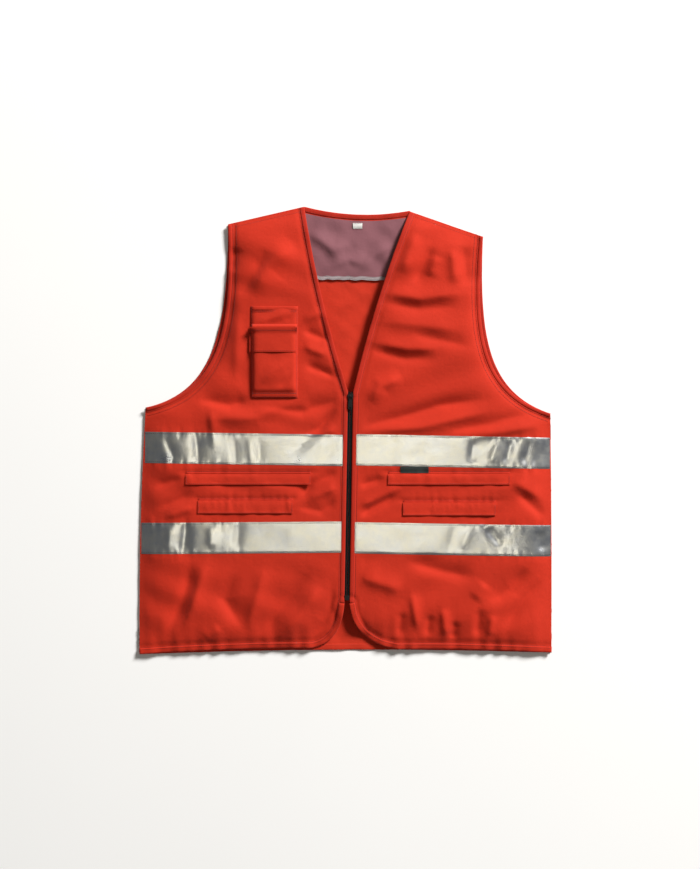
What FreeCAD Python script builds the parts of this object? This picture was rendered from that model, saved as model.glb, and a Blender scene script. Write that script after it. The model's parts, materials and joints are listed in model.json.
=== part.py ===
"""Orange high-visibility vest with a front zip, laid flat on its back.

X runs across the vest (the wearer's left side is +X), Y runs up the body to the neck and Z up from
the surface that the vest lies on. The origin is under the middle of the vest. Lengths are in mm.
"""
import FreeCAD, Part
import math
import os
import re

from FreeCAD import Vector

# Thicknesses and the heights at which the layers of the laid vest sit
LAYERS = {
    "cloth_thick": 0.8,
    "lining_thick": 0.5,
    "tape_thick": 0.5,
    "binding_thick": 0.4,
    "webbing_thick": 0.6,
    "label_thick": 0.3,
    "back_level": 0.5,
    "front_level": 14.4,
    "outer_bag_level": 6.2,
    "inner_bag_level": 9.4,
    "slack": 0.1,
    "wall_thick": 0.8,
}

# The outline: where each corner of the laid vest is, and the poles that bend its curved edges
OUTLINE = {
    "right_neck_x": -66.4, "right_neck_y": 358.6,
    "right_shoulder_x": -188.0, "right_shoulder_y": 330.4,
    "right_armhole_upper_x": -188.0, "right_armhole_upper_y": 150.0,
    "right_armhole_lower_x": -215.0, "right_armhole_lower_y": 60.0,
    "right_armpit_x": -320.8, "right_armpit_y": 36.0,
    "right_waist_x": -329.6, "right_waist_y": -175.0,
    "right_hem_x": -330.6, "right_hem_y": -358.6,
    "right_hem_middle_x": -200.0, "right_hem_middle_y": -351.2,
    "right_corner_end_x": -53.6, "right_corner_end_y": -348.4,
    "right_corner_upper_x": -5.0, "right_corner_upper_y": -318.0,
    "right_corner_lower_x": -22.0, "right_corner_lower_y": -343.0,
    "right_crease_corner_share": 0.49,
    "left_neck_x": 103.2, "left_neck_y": 352.0,
    "left_shoulder_x": 220.0, "left_shoulder_y": 311.2,
    "left_armhole_upper_x": 213.0, "left_armhole_upper_y": 150.0,
    "left_armhole_lower_x": 228.0, "left_armhole_lower_y": 60.0,
    "left_armpit_x": 328.8, "left_armpit_y": 26.4,
    "left_waist_x": 330.9, "left_waist_y": -180.0,
    "left_hem_x": 330.6, "left_hem_y": -356.0,
    "left_hem_middle_x": 210.0, "left_hem_middle_y": -351.2,
    "left_corner_end_x": 84.0, "left_corner_end_y": -350.4,
    "left_corner_upper_x": 10.5, "left_corner_upper_y": -325.0,
    "left_corner_lower_x": 45.0, "left_corner_lower_y": -345.0,
    "left_crease_corner_share": 0.42,
    "neck_dip_x": 30.0, "neck_dip_y": 345.6,
    "neckline_bow": -6.0,
    "crease_neckline_share": 0.54,
    "crease_gap_share": 0.004,
    "armhole_inset": 8.0,
    "binding_width": 8.0,
    "binding_end_share": 0.03,
    "neckline_binding_end_share": 0.468,
    "seam_end_share": 0.01,
    "yoke_drop": 112.0,
    "yoke_inset": 9.0,
}

# Reflective tapes: the height of each tape's centre line at the zip and at the side seam
TAPES = {
    "tape_width": 50.0,
    "right_upper_tape_inner_y": -32.0, "right_upper_tape_outer_y": -27.0,
    "right_lower_tape_inner_y": -170.6, "right_lower_tape_outer_y": -173.0,
    "left_upper_tape_inner_y": -30.6, "left_upper_tape_outer_y": -36.6,
    "left_lower_tape_inner_y": -171.4, "left_lower_tape_outer_y": -177.0,
    "tape_end_gap": 8.8,
    "tape_side_gap": 1.0,
}

# Chest pocket: a slip pocket with a flap pocket on its face
CHEST = {
    "slip_left": -151.5, "slip_bottom": 51.2, "slip_width": 75.5, "slip_height": 147.0,
    "slip_depth": 5.4,
    "bag_margin": 1.5, "bag_height": 108.0, "bag_depth": 5.2,
    "riser_width": 2.4, "riser_height": 6.2, "riser_bottom": 164.6,
    "flap_width": 75.8, "flap_height": 39.0, "flap_left": -153.3,
    "flap_gap": 0.4,
    "pad_width": 50.0, "pad_height": 16.0, "pad_thick": 0.5, "pad_drop": 20.0,
}

# Lower pockets: a slit in each front under a narrow flap, and a bag behind it
LOWER = {
    "right_upper_flap_x": -255.8, "right_upper_flap_y": -69.6, "right_upper_flap_width": 200.6,
    "right_lower_flap_x": -236.3, "right_lower_flap_y": -112.2, "right_lower_flap_width": 152.3,
    "left_upper_flap_x": 68.0, "left_upper_flap_y": -69.6, "left_upper_flap_width": 195.2,
    "left_lower_flap_x": 92.0, "left_lower_flap_y": -115.4, "left_lower_flap_width": 148.8,
    "upper_flap_height": 16.5, "lower_flap_height": 20.0,
    "narrow_flap_thick": 0.6,
    "slit_drop": 4.0, "slit_height": 6.0, "slit_inset": 10.0,
    "bag_top_margin": 3.0, "outer_bag_height": 232.0, "inner_bag_height": 176.0,
    "tab_x": 88.0, "tab_y": -68.0, "tab_width": 45.0, "tab_height": 10.4,
    "label_x": 12.0, "label_y": 333.0, "label_width": 15.0, "label_height": 9.0,
}

# The zip, measured from the middle of its top end
ZIP = {
    "zip_x": 8.0, "zip_y": 62.0, "zip_lean": -0.98,
    "zip_length": 334.0,
    "zip_start": 0.0,
    "zip_half_gap": 4.2,
    "zip_tape_width": 14.0, "zip_tape_thick": 0.5, "zip_tape_drop": 1.0,
    "coil_inner": 0.5, "coil_width": 2.2, "coil_thick": 1.2,
    "stop_length": 2.4,
    "box_length": 8.0, "box_width": 8.0, "box_wall": 0.8,
    "pin_length": 7.0, "pin_width": 1.4,
    "slider_length": 10.0, "slider_width": 9.6, "slider_plate": 0.9,
    "zip_clearance": 0.3, "pin_shoulder": 1.0, "slider_bridge": 0.6, "slider_bridge_length": 3.0,
    "slider_flange": 0.7,
    "loop_length": 6.4, "loop_width": 2.4, "loop_height": 2.6, "loop_thick": 0.8,
    "pull_lift": 0.9, "pull_pin_radius": 0.55, "pull_width": 6.6, "pull_length": 17.0, "pull_thick": 1.0,
    "pull_arm": 1.3, "pull_arm_length": 4.0,
    "pull_hole_radius": 1.5,
}

DIMENSIONS = {**LAYERS, **OUTLINE, **TAPES, **CHEST, **LOWER, **ZIP}
SIDES = {"right": -1, "left": 1}

document = FreeCAD.newDocument("Vest")
sheet = document.addObject("Spreadsheet::Sheet", "Dimensions")
for row, (alias, value) in enumerate(DIMENSIONS.items(), start=1):
    sheet.set(f"A{row}", alias)
    sheet.set(f"B{row}", str(value))
    sheet.setAlias(f"B{row}", alias)
document.recompute()

pieces = []


def size(alias):
    """The number in the sheet's cell of this name."""
    return float(sheet.get(alias))


def bind(thing, **formulas):
    """Bind properties to formulas of the sheet's cells; two underscores stand for a dot."""
    for name, formula in formulas.items():
        text = re.sub(r"[A-Za-z_]\w*", lambda word: f"Dimensions.{word.group()}", formula)
        thing.setExpression(name.replace("__", "."), text)


def piece(thing, name):
    """List a finished object as the vest's piece of this name."""
    thing.Label = name
    pieces.append(thing)
    return thing


def place(thing, x, y, z):
    """Bind an object's position."""
    bind(thing, Placement__Base__x=x, Placement__Base__y=y, Placement__Base__z=z)


# --- points and curves of the outline -------------------------------------------------------

def point(name):
    """A corner or pole of the outline."""
    return Vector(size(name + "_x"), size(name + "_y"), 0)


def on_zip(across, along):
    """A point beside the zip: across it, and down along it from its top."""
    lean = math.radians(size("zip_lean"))
    down = Vector(math.sin(lean), -math.cos(lean), 0)
    side = Vector(math.cos(lean), math.sin(lean), 0)
    return Vector(size("zip_x"), size("zip_y"), 0) + side * across + down * along


def line(start, end):
    return Part.LineSegment(start, end)


def arc(start, middle, end):
    return Part.Arc(start, middle, end)


def bezier(*poles):
    curve = Part.BezierCurve()
    curve.setPoles(list(poles))
    return curve.toBSpline()


def share(curve, part):
    """The point that lies this share of the way along a curve's parameter."""
    first, last = curve.FirstParameter, curve.LastParameter
    return curve.value(first + part * (last - first))


def stretch(curve, start, end):
    """The stretch of an arc or spline between two shares of it."""
    if not isinstance(curve, Part.BSplineCurve):
        return arc(*(share(curve, part) for part in (start, (start + end) / 2, end)))
    first, last = curve.FirstParameter, curve.LastParameter
    cut = curve.copy()
    cut.segment(first + start * (last - first), first + end * (last - first))
    return cut


def beside(curve, width, start=0.0, end=1.0, steps=12):
    """A smooth curve that runs a width to the left of a curve's stretch."""
    first, last = curve.FirstParameter, curve.LastParameter
    offsets = []
    for step in range(steps + 1):
        at = first + (start + (end - start) * step / steps) * (last - first)
        along = curve.tangent(at)[0]
        offsets.append(curve.value(at) + Vector(-along.y, along.x, 0) * width)
    spline = Part.BSplineCurve()
    spline.interpolate(offsets)
    return spline


def armhole(side, inset=0.0):
    """An armhole's edge from the shoulder to the armpit, its middle set in towards the body."""
    inward = Vector(-SIDES[side] * inset, 0, 0)
    return bezier(
        point(f"{side}_shoulder"),
        point(f"{side}_armhole_upper") + inward,
        point(f"{side}_armhole_lower") + inward,
        point(f"{side}_armpit"),
    )


def neckline(side):
    """A front's edge from the neck down to the top of the zip."""
    start, end = point(f"{side}_neck"), zip_edge(side, 0)
    return arc(start, (start + end) / 2 + Vector(size("neckline_bow"), 0, 0), end)


def zip_edge(side, along):
    """The point of a front's edge beside the zip."""
    return on_zip(SIDES[side] * size("zip_half_gap"), along)


def corner(side):
    """A front's rounded lower corner, from the end of the zip to the hem."""
    return bezier(
        zip_edge(side, size("zip_length") + 2 * size("stop_length")),
        point(f"{side}_corner_upper"),
        point(f"{side}_corner_lower"),
        point(f"{side}_corner_end"),
    )


def crease(side, to_edge):
    """The ends of the line along which a front's edge folds back, on the edge's side or the body's."""
    gap = size("crease_gap_share") * to_edge
    top = share(neckline(side), size("crease_neckline_share") + gap)
    return top, share(corner(side), size(f"{side}_crease_corner_share") - gap)


def crease_at(side, height, to_edge):
    """The point of the crease at a height."""
    top, bottom = crease(side, to_edge)
    return bottom + (top - bottom) * ((height - bottom.y) / (top.y - bottom.y))


def side_seam(side):
    return arc(point(f"{side}_armpit"), point(f"{side}_waist"), point(f"{side}_hem"))


def side_seam_at(side, height):
    """The point of a side seam at a height."""
    seam = side_seam(side)
    low, high = 0.0, 1.0
    for _ in range(40):
        middle = (low + high) / 2
        if share(seam, middle).y > height:
            low = middle
        else:
            high = middle
    return share(seam, low)


# --- solids -----------------------------------------------------------------------------------

def flat_sketch(body, loops, level):
    """A sketch of closed loops at a height."""
    sketch = body.newObject("Sketcher::SketchObject", body.Name + "Outline")
    plane = next(o for o in body.Origin.OriginFeatures if o.Role == "XY_Plane")
    sketch.AttachmentSupport = [(plane, "")]
    sketch.MapMode = "FlatFace"
    for loop in loops:
        sketch.addGeometry(loop, False)
    bind(sketch, AttachmentOffset__Base__z=level)
    return sketch


def pad(body, loops, level, thick):
    """A pad of closed loops, from a height up."""
    feature = body.newObject("PartDesign::Pad", body.Name + "Pad")
    feature.Profile = flat_sketch(body, loops, level)
    bind(feature, Length=thick)
    return feature


def cloth(name, loops, level, thick):
    """A flat piece cut to closed loops of edges."""
    body = document.addObject("PartDesign::Body", name)
    pad(body, loops, level, thick)
    return piece(body, name)


def polygon(*corners):
    """A closed loop of straight edges."""
    return [line(a, b) for a, b in zip(corners, corners[1:] + corners[:1])]


def rectangle(x, y, width, height):
    return polygon(
        Vector(x, y, 0), Vector(x + width, y, 0), Vector(x + width, y + height, 0), Vector(x, y + height, 0)
    )


def band(curve, width, start=0.0, end=1.0):
    """A closed loop round a strip that follows the left side of a curve's stretch."""
    edge = stretch(curve, start, end)
    inner = beside(curve, width, start, end)
    return [
        edge,
        line(share(edge, 0), share(inner, 0)),
        inner,
        line(share(inner, 1), share(edge, 1)),
    ]


def block(name, x, y, z, length, width, height):
    """A box whose corner and sizes are formulas of the sheet's cells."""
    box = document.addObject("Part::Box", name)
    bind(box, Length=length, Width=width, Height=height)
    place(box, x, y, z)
    return box


def join(name, *solids):
    fused = document.addObject("Part::MultiFuse", name)
    fused.Shapes = list(solids)
    return fused


def cut(name, base, tool):
    result = document.addObject("Part::Cut", name)
    result.Base, result.Tool = base, tool
    return result


# --- back -------------------------------------------------------------------------------------

def back_panel():
    right, left = armhole("right"), armhole("left")
    neck = arc(point("left_neck"), point("neck_dip"), point("right_neck"))
    hem_middle = Vector(size("neck_dip_x"), size("left_hem_middle_y"), 0)
    outline = [
        line(point("right_neck"), point("right_shoulder")),
        right,
        side_seam("right"),
        arc(point("right_hem"), hem_middle, point("left_hem")),
        side_seam("left"),
        left,
        line(point("left_shoulder"), point("left_neck")),
        neck,
    ]
    cloth("back_panel", [outline], "back_level", "cloth_thick")


def yoke_lining():
    """The lining of the upper back, from the neck and shoulders down."""
    inset, drop = size("yoke_inset"), size("yoke_drop")
    corners = []
    for side, out in SIDES.items():
        neck = point(f"{side}_neck") + Vector(out, -inset, 0)
        shoulder = point(f"{side}_shoulder") + Vector(-out * inset, -inset, 0)
        lower = Vector(point(f"{side}_armhole_upper").x - out * inset, neck.y + inset - drop, 0)
        corners.append((neck, shoulder, lower))
    (right_neck, right_shoulder, right_low), (left_neck, left_shoulder, left_low) = corners
    outline = [
        arc(left_neck, point("neck_dip") - Vector(0, inset, 0), right_neck),
        line(right_neck, right_shoulder),
        line(right_shoulder, right_low),
        line(right_low, left_low),
        line(left_low, left_shoulder),
        line(left_shoulder, left_neck),
    ]
    cloth("back_yoke_lining", [outline], "back_level + cloth_thick", "lining_thick")


def neck_label():
    label = block(
        "neck_label",
        "label_x", "label_y - label_height", "back_level + cloth_thick + lining_thick",
        "label_width", "label_height", "label_thick",
    )
    piece(label, "neck_label")


def back_bindings():
    """The strips that bind the back's neck and armholes, on the inner face."""
    level = "back_level + cloth_thick"
    neck = arc(point("right_neck"), point("neck_dip"), point("left_neck"))
    ends = size("binding_end_share"), 1 - size("binding_end_share")
    cloth("back_neck_binding", [band(neck, -size("binding_width"), *ends)], level, "binding_thick")
    for side, out in SIDES.items():
        strip = band(armhole(side), -out * size("binding_width"), *ends)
        cloth(f"back_{side}_armhole_binding", [strip], level, "binding_thick")


def back_tapes():
    """The reflective tapes across the outer face of the back, which the vest lies on."""
    half = Vector(0, size("tape_width") / 2, 0)
    for tape in ("upper", "lower"):
        ends = []
        for side, out in SIDES.items():
            height = size(f"{side}_{tape}_tape_outer_y")
            seam_x = min(abs(side_seam_at(side, height + lift).x) for lift in (half.y, -half.y))
            ends.append(Vector(out * (seam_x - size("tape_side_gap")), height, 0))
        right, left = ends
        outline = polygon(right - half, left - half, left + half, right + half)
        cloth(f"back_{tape}_tape", [outline], "back_level - tape_thick", "tape_thick")


# --- fronts -----------------------------------------------------------------------------------

def slit(side, row):
    """The mouth of a lower pocket, a slit in the front under its flap."""
    flap = point(f"{side}_{row}_flap")
    inset, low = size("slit_inset"), size("slit_drop") + size("slit_height")
    width = size(f"{side}_{row}_flap_width") - 2 * inset
    return rectangle(flap.x + inset, flap.y - low, width, size("slit_height"))


def front_panel(side):
    """The part of a front that stays on the body."""
    top, bottom = crease(side, -1)
    neck_share = size("crease_neckline_share") - size("crease_gap_share")
    corner_share = size(f"{side}_crease_corner_share") + size("crease_gap_share")
    outline = [
        stretch(neckline(side), 0, neck_share),
        line(top, bottom),
        stretch(corner(side), corner_share, 1),
        arc(point(f"{side}_corner_end"), point(f"{side}_hem_middle"), point(f"{side}_hem")),
        side_seam(side),
        armhole(side, size("armhole_inset")),
        line(point(f"{side}_shoulder"), point(f"{side}_neck")),
    ]
    loops = [outline, slit(side, "upper"), slit(side, "lower")]
    cloth(f"{side}_front_panel", loops, "front_level", "cloth_thick")


def standing_seams(side):
    """The sewn edges where a front comes down to the back, along the shoulder and the side."""
    bottom = "back_level + cloth_thick"
    inward = -SIDES[side] * size("wall_thick")
    start, end = point(f"{side}_neck"), point(f"{side}_shoulder")
    along = (end - start).normalize()
    aside = Vector(-along.y, along.x, 0) * inward
    shoulder = polygon(start, end, end + aside, start + aside)
    ends = size("seam_end_share"), 1 - size("seam_end_share")
    for name, loop in (("shoulder", shoulder), ("side", band(side_seam(side), inward, *ends))):
        cloth(f"{side}_{name}_seam", [loop], bottom, f"front_level - ({bottom})")


def front_edge(side):
    """The strip of a front beside the zip, which folds back along the crease."""
    top, bottom = crease(side, 1)
    neck_share = size("crease_neckline_share") + size("crease_gap_share")
    corner_share = size(f"{side}_crease_corner_share") - size("crease_gap_share")
    outline = [
        stretch(neckline(side), neck_share, 1),
        line(zip_edge(side, 0), share(corner(side), 0)),
        stretch(corner(side), 0, corner_share),
        line(bottom, top),
    ]
    cloth(f"{side}_front_edge", [outline], "front_level", "cloth_thick")


def front_bindings(side):
    """The strips that bind a front's neckline, in two stretches, and its armhole."""
    level = "front_level + cloth_thick"
    inward = SIDES[side] * size("binding_width")
    start, fold = size("binding_end_share"), size("neckline_binding_end_share")
    cloth(
        f"{side}_neckline_binding",
        [band(neckline(side), inward, start, fold)],
        level, "binding_thick",
    )
    cloth(
        f"{side}_front_edge_binding",
        [edge_band(side, size("binding_width") / 2)],
        level, "binding_thick",
    )
    strip = band(armhole(side, size("armhole_inset")), -inward, start, 1 - start)
    cloth(f"{side}_armhole_binding", [strip], level, "binding_thick")


def edge_band(side, width):
    """The loop of the binding beside the zip."""
    inner = SIDES[side] * width
    ends = (0, size("zip_length"))
    return polygon(
        zip_edge(side, ends[0]),
        zip_edge(side, ends[1]),
        on_zip(SIDES[side] * size("zip_half_gap") + inner, ends[1]),
        on_zip(SIDES[side] * size("zip_half_gap") + inner, ends[0]),
    )


def front_tapes(side):
    """The reflective tapes of a front, and their ends on the strip that folds back."""
    half = Vector(0, size("tape_width") / 2, 0)
    out = SIDES[side]
    for tape in ("upper", "lower"):
        inner_y = size(f"{side}_{tape}_tape_inner_y")
        outer_y = size(f"{side}_{tape}_tape_outer_y")
        end = on_zip(out * size("tape_end_gap"), size("zip_y") - inner_y)
        seam = side_seam_at(side, outer_y + half.y)
        outer = Vector(seam.x - out * size("tape_side_gap"), outer_y, 0)
        for part, to_edge in (("tape", -1), ("tape_end", 1)):
            fold = [crease_at(side, inner_y + lift, to_edge) for lift in (half.y, -half.y)]
            if part == "tape":
                outline = polygon(outer - half, outer + half, *fold)
            else:
                outline = polygon(end - half, end + half, *fold)
            name = f"{side}_{tape}_{part}"
            cloth(name, [outline], "front_level + cloth_thick", "tape_thick")


# --- pockets ----------------------------------------------------------------------------------

def patch(name, x, y, z, width, height, depth):
    """A pocket bag sewn to the cloth under it round three sides, and open at the top."""
    outer = block(name + "_outside", x, y, z, width, height, depth)
    inner = block(
        name + "_inside",
        f"{x} + wall_thick", f"{y} + wall_thick", z,
        f"{width} - 2 * wall_thick", height, f"{depth} - cloth_thick",
    )
    piece(cut(name, outer, inner), name)


def hung_bag(name, x, y, z, width, height, depth):
    """A pocket bag hung behind a slit: one panel of lining, and a gusset strip on each of its edges."""
    panel = block(name + "_panel", x, y, z, width, height, "lining_thick")
    level, rise = f"{z} + lining_thick", f"{depth} - lining_thick"
    inside = f"{height} - 2 * wall_thick"
    gussets = [
        block(f"{name}_{edge}_gusset", left, low, level, across, up, rise)
        for edge, left, low, across, up in (
            ("bottom", x, y, width, "wall_thick"),
            ("top", x, f"{y} + {height} - wall_thick", width, "wall_thick"),
            ("right", x, f"{y} + wall_thick", "wall_thick", inside),
            ("left", f"{x} + {width} - wall_thick", f"{y} + wall_thick", "wall_thick", inside),
        )
    ]
    bag = document.addObject("Part::Compound", name)
    bag.Links = [panel, *gussets]
    piece(bag, name)


def chest_pocket():
    """A slip pocket on the right chest, with a flap pocket on its face."""
    patch(
        "chest_slip_pocket",
        "slip_left", "slip_bottom", "front_level + cloth_thick",
        "slip_width", "slip_height", "slip_depth",
    )
    face = "front_level + cloth_thick + slip_depth"
    patch(
        "chest_pocket_bag",
        "slip_left + bag_margin", "slip_bottom + bag_margin", face,
        "slip_width - 2 * bag_margin", "bag_height", "bag_depth",
    )
    riser = block(
        "chest_flap_facing",
        "slip_left + bag_margin", "riser_bottom", face,
        "slip_width - 2 * bag_margin", "riser_width", "riser_height",
    )
    piece(riser, "chest_flap_facing")
    pad_x = "slip_left + (slip_width - pad_width) / 2"
    pad_y = "riser_bottom - pad_drop - pad_height"
    loop_pad = block("chest_loop_pad", pad_x, pad_y, f"{face} + bag_depth",
                     "pad_width", "pad_height", "pad_thick")
    piece(loop_pad, "chest_loop_pad")
    flap_z = f"{face} + riser_height + flap_gap"
    flap = block("chest_pocket_flap", "flap_left", "riser_bottom - flap_height", flap_z,
                 "flap_width", "flap_height", "cloth_thick")
    piece(flap, "chest_pocket_flap")
    hook_pad = block("chest_hook_pad", pad_x, pad_y, f"{flap_z} - pad_thick",
                     "pad_width", "pad_height", "pad_thick")
    piece(hook_pad, "chest_hook_pad")


def lower_pocket(side, row, bag, flap_height):
    """A lower pocket: its narrow flap on the front, and its bag hung behind the slit."""
    flap = f"{side}_{row}_flap"
    strip = block(
        f"{side}_{row}_pocket_flap",
        f"{flap}_x", f"{flap}_y - {flap_height}", "front_level + cloth_thick + flap_gap",
        f"{flap}_width", flap_height, "narrow_flap_thick",
    )
    piece(strip, f"{side}_{row}_pocket_flap")
    hung_bag(
        f"{side}_{row}_pocket_bag",
        f"{flap}_x", f"{flap}_y + bag_top_margin - {bag}_height", f"{bag}_level",
        f"{flap}_width", f"{bag}_height", f"front_level - {bag}_level",
    )


def webbing_tab():
    tab = block("webbing_tab", "tab_x", "tab_y", "front_level + cloth_thick",
                "tab_width", "tab_height", "webbing_thick")
    piece(tab, "webbing_tab")


# --- zip --------------------------------------------------------------------------------------

TAPE_LEVEL = "front_level - zip_tape_drop"
COIL_LEVEL = "front_level - zip_tape_drop + zip_tape_thick"
COIL_TOP = "front_level - zip_tape_drop + zip_tape_thick + coil_thick"
PLATE_LEVEL = "front_level + cloth_thick + binding_thick + zip_clearance"
PULL_LEVEL = "front_level + cloth_thick + binding_thick + zip_clearance + slider_plate + pull_lift"


def zip_block(name, across, along, width, length, low, high):
    """A box on the zip's own axes: its low edge across, its top end along, and its two heights."""
    return block(name, across, f"0 - ({along}) - ({length})", low, width, length, f"({high}) - ({low})")


def zip_piece(name, *solids):
    """Put solids built on the zip's own axes onto the leaning zip, as one piece."""
    holder = document.addObject("Part::Compound", name)
    holder.Links = list(solids)
    holder.Placement.Rotation = FreeCAD.Rotation(Vector(0, 0, 1), size("zip_lean"))
    bind(
        holder,
        Placement__Base__x="zip_x",
        Placement__Base__y="zip_y",
        Placement__Rotation__Angle="zip_lean",
    )
    return piece(holder, name)


def beside_gap(side, width):
    """The low edge of a strip of this width that starts at one side's edge of the zip's gap."""
    return "coil_inner" if side == "left" else f"0 - coil_inner - {width}"


def zip_half(side):
    """The woven tape, the coil and the top stop on one side of the zip."""
    tape = zip_block(
        f"{side}_zip_tape_strip", beside_gap(side, "zip_tape_width"), "zip_start",
        "zip_tape_width", "zip_length - box_length", TAPE_LEVEL, COIL_LEVEL,
    )
    zip_piece(f"{side}_zip_tape", tape)
    coil_length = "zip_length - box_length - stop_length"
    if side == "left":
        coil_length += " - pin_shoulder"
    coil = zip_block(
        f"{side}_zip_coil_strip", beside_gap(side, "coil_width"), "stop_length",
        "coil_width", coil_length, COIL_LEVEL, COIL_TOP,
    )
    zip_piece(f"{side}_zip_coil", coil)
    stop = zip_block(
        f"{side}_top_stop_clamp", beside_gap(side, "coil_width"), "zip_start",
        "coil_width", "stop_length", COIL_LEVEL, COIL_TOP,
    )
    zip_piece(f"{side}_top_stop", stop)


def zip_bottom():
    """The insertion pin on the left coil's end, and the box on the right one that takes it."""
    start = "zip_length - box_length - pin_shoulder"
    pin = zip_block("pin_bar", "coil_inner", start, "pin_width", "pin_length", COIL_LEVEL, COIL_TOP)
    zip_piece("zip_insertion_pin", pin)
    outside = zip_block(
        "box_outside", "0 - box_width / 2", "zip_length - box_length", "box_width", "box_length",
        f"{TAPE_LEVEL} - box_wall", f"{COIL_TOP} + box_wall",
    )
    socket = zip_block(
        "box_socket", "coil_inner - zip_clearance", "zip_length - box_length - slack",
        "pin_width + 2 * zip_clearance", "pin_length + zip_clearance",
        f"{COIL_LEVEL} - zip_clearance", f"{COIL_TOP} + zip_clearance",
    )
    zip_piece("zip_retainer_box", cut("box_shell", outside, socket))


def slider():
    """The slider: two plates joined by a bridge that runs between the coils, with a loop on top."""
    top = f"{PLATE_LEVEL} + slider_plate"
    under = f"{TAPE_LEVEL} - zip_clearance"
    start = "stop_length + zip_clearance"
    plates = [
        zip_block(f"slider_{name}_plate", "0 - slider_width / 2", start,
                  "slider_width", "slider_length", low, high)
        for name, low, high in (
            ("top", PLATE_LEVEL, top),
            ("bottom", f"{under} - slider_plate", under),
        )
    ]
    bridge = zip_block("slider_bridge_wall", "0 - slider_bridge / 2", start, "slider_bridge",
                       "slider_bridge_length", under, PLATE_LEVEL)
    inner = "coil_inner + coil_width + zip_clearance"
    flanges = [
        zip_block(f"slider_{side}_flange", low, start, "slider_flange", "slider_length",
                  f"{COIL_LEVEL} + zip_clearance / 2", PLATE_LEVEL)
        for side, low in (("left", inner), ("right", f"0 - ({inner}) - slider_flange"))
    ]
    loop_start = f"{start} + (slider_length - loop_length) / 2"
    loop_solid = zip_block("slider_loop_solid", "0 - loop_width / 2", loop_start,
                           "loop_width", "loop_length", top, f"{top} + loop_height")
    loop_hole = zip_block("slider_loop_hole", "0 - loop_width", f"{loop_start} + loop_thick",
                          "2 * loop_width", "loop_length - 2 * loop_thick",
                          f"{top} - slack", f"{top} + loop_height - loop_thick")
    body = join("slider_plates", *plates, bridge, *flanges)
    loop = cut("slider_loop", loop_solid, loop_hole)
    zip_piece("zip_slider", join("slider_whole", body, loop))


def pull_tab():
    """The pull: a pin through the slider's loop, two arms and a plate with a hole."""
    axis_along = "stop_length + zip_clearance + slider_length / 2"
    pin = document.addObject("Part::Cylinder", "pull_pin")
    bind(pin, Radius="pull_pin_radius", Height="pull_width")
    pin.Placement.Rotation = FreeCAD.Rotation(Vector(0, 1, 0), 90)
    place(pin, "0 - pull_width / 2", f"0 - ({axis_along})", PULL_LEVEL)
    low, high = f"{PULL_LEVEL} - pull_thick / 2", f"{PULL_LEVEL} + pull_thick / 2"
    arms = [
        zip_block(f"pull_{side}_arm", across, f"{axis_along} - pull_pin_radius",
                  "pull_arm", "pull_arm_length + pull_pin_radius + slack", low, high)
        for side, across in (("left", "pull_width / 2 - pull_arm"), ("right", "0 - pull_width / 2"))
    ]
    plate = zip_block("pull_plate", "0 - pull_width / 2", f"{axis_along} + pull_arm_length",
                      "pull_width", "pull_length", low, high)
    hole = document.addObject("Part::Cylinder", "pull_hole")
    bind(
        hole,
        Radius="pull_hole_radius",
        Height="3 * pull_thick",
        Placement__Base__y=f"0 - ({axis_along}) - pull_arm_length - pull_length + 2 * pull_hole_radius",
        Placement__Base__z=f"{PULL_LEVEL} - 1.5 * pull_thick",
    )
    zip_piece("zip_pull_tab", join("pull_whole", pin, *arms, cut("pull_drilled", plate, hole)))


# --- the whole vest ---------------------------------------------------------------------------

def build():
    back_panel()
    yoke_lining()
    neck_label()
    back_bindings()
    back_tapes()
    for side in SIDES:
        front_panel(side)
        standing_seams(side)
        front_edge(side)
        front_bindings(side)
        front_tapes(side)
        lower_pocket(side, "upper", "outer_bag", "upper_flap_height")
        lower_pocket(side, "lower", "inner_bag", "lower_flap_height")
        zip_half(side)
    chest_pocket()
    webbing_tab()
    zip_bottom()
    slider()
    pull_tab()
    document.recompute()


def check():
    """Stop at an object that failed or a piece that isn't a sound solid."""
    for thing in document.Objects:
        if {"Invalid", "Error"} & set(thing.State):
            raise RuntimeError(f"{thing.Name} failed: {thing.State}")
    for thing in pieces:
        shape = thing.Shape
        if shape.isNull() or not shape.isValid() or not shape.Solids:
            raise RuntimeError(f"{thing.Label} isn't a valid solid")


def export():
    os.makedirs("parts", exist_ok=True)
    for thing in pieces:
        thing.Shape.exportStep(f"parts/{thing.Label}.step")


build()
check()
export()
box = Part.makeCompound([thing.Shape for thing in pieces]).BoundBox
low, high = (box.XMin, box.YMin, box.ZMin), (box.XMax, box.YMax, box.ZMax)
print(len(pieces), "pieces in a box from", low, "to", high)
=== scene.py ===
"""The looks of an orange high-visibility vest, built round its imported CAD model.

Lengths are in millimetres until a mesh is made, and the axes are the CAD model's: X across the
vest towards the wearer's left, Y up the body and Z up from the surface that the vest lies on.
"""
import json
import math
import random

import bpy
import numpy as np
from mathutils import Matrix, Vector, geometry


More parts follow.
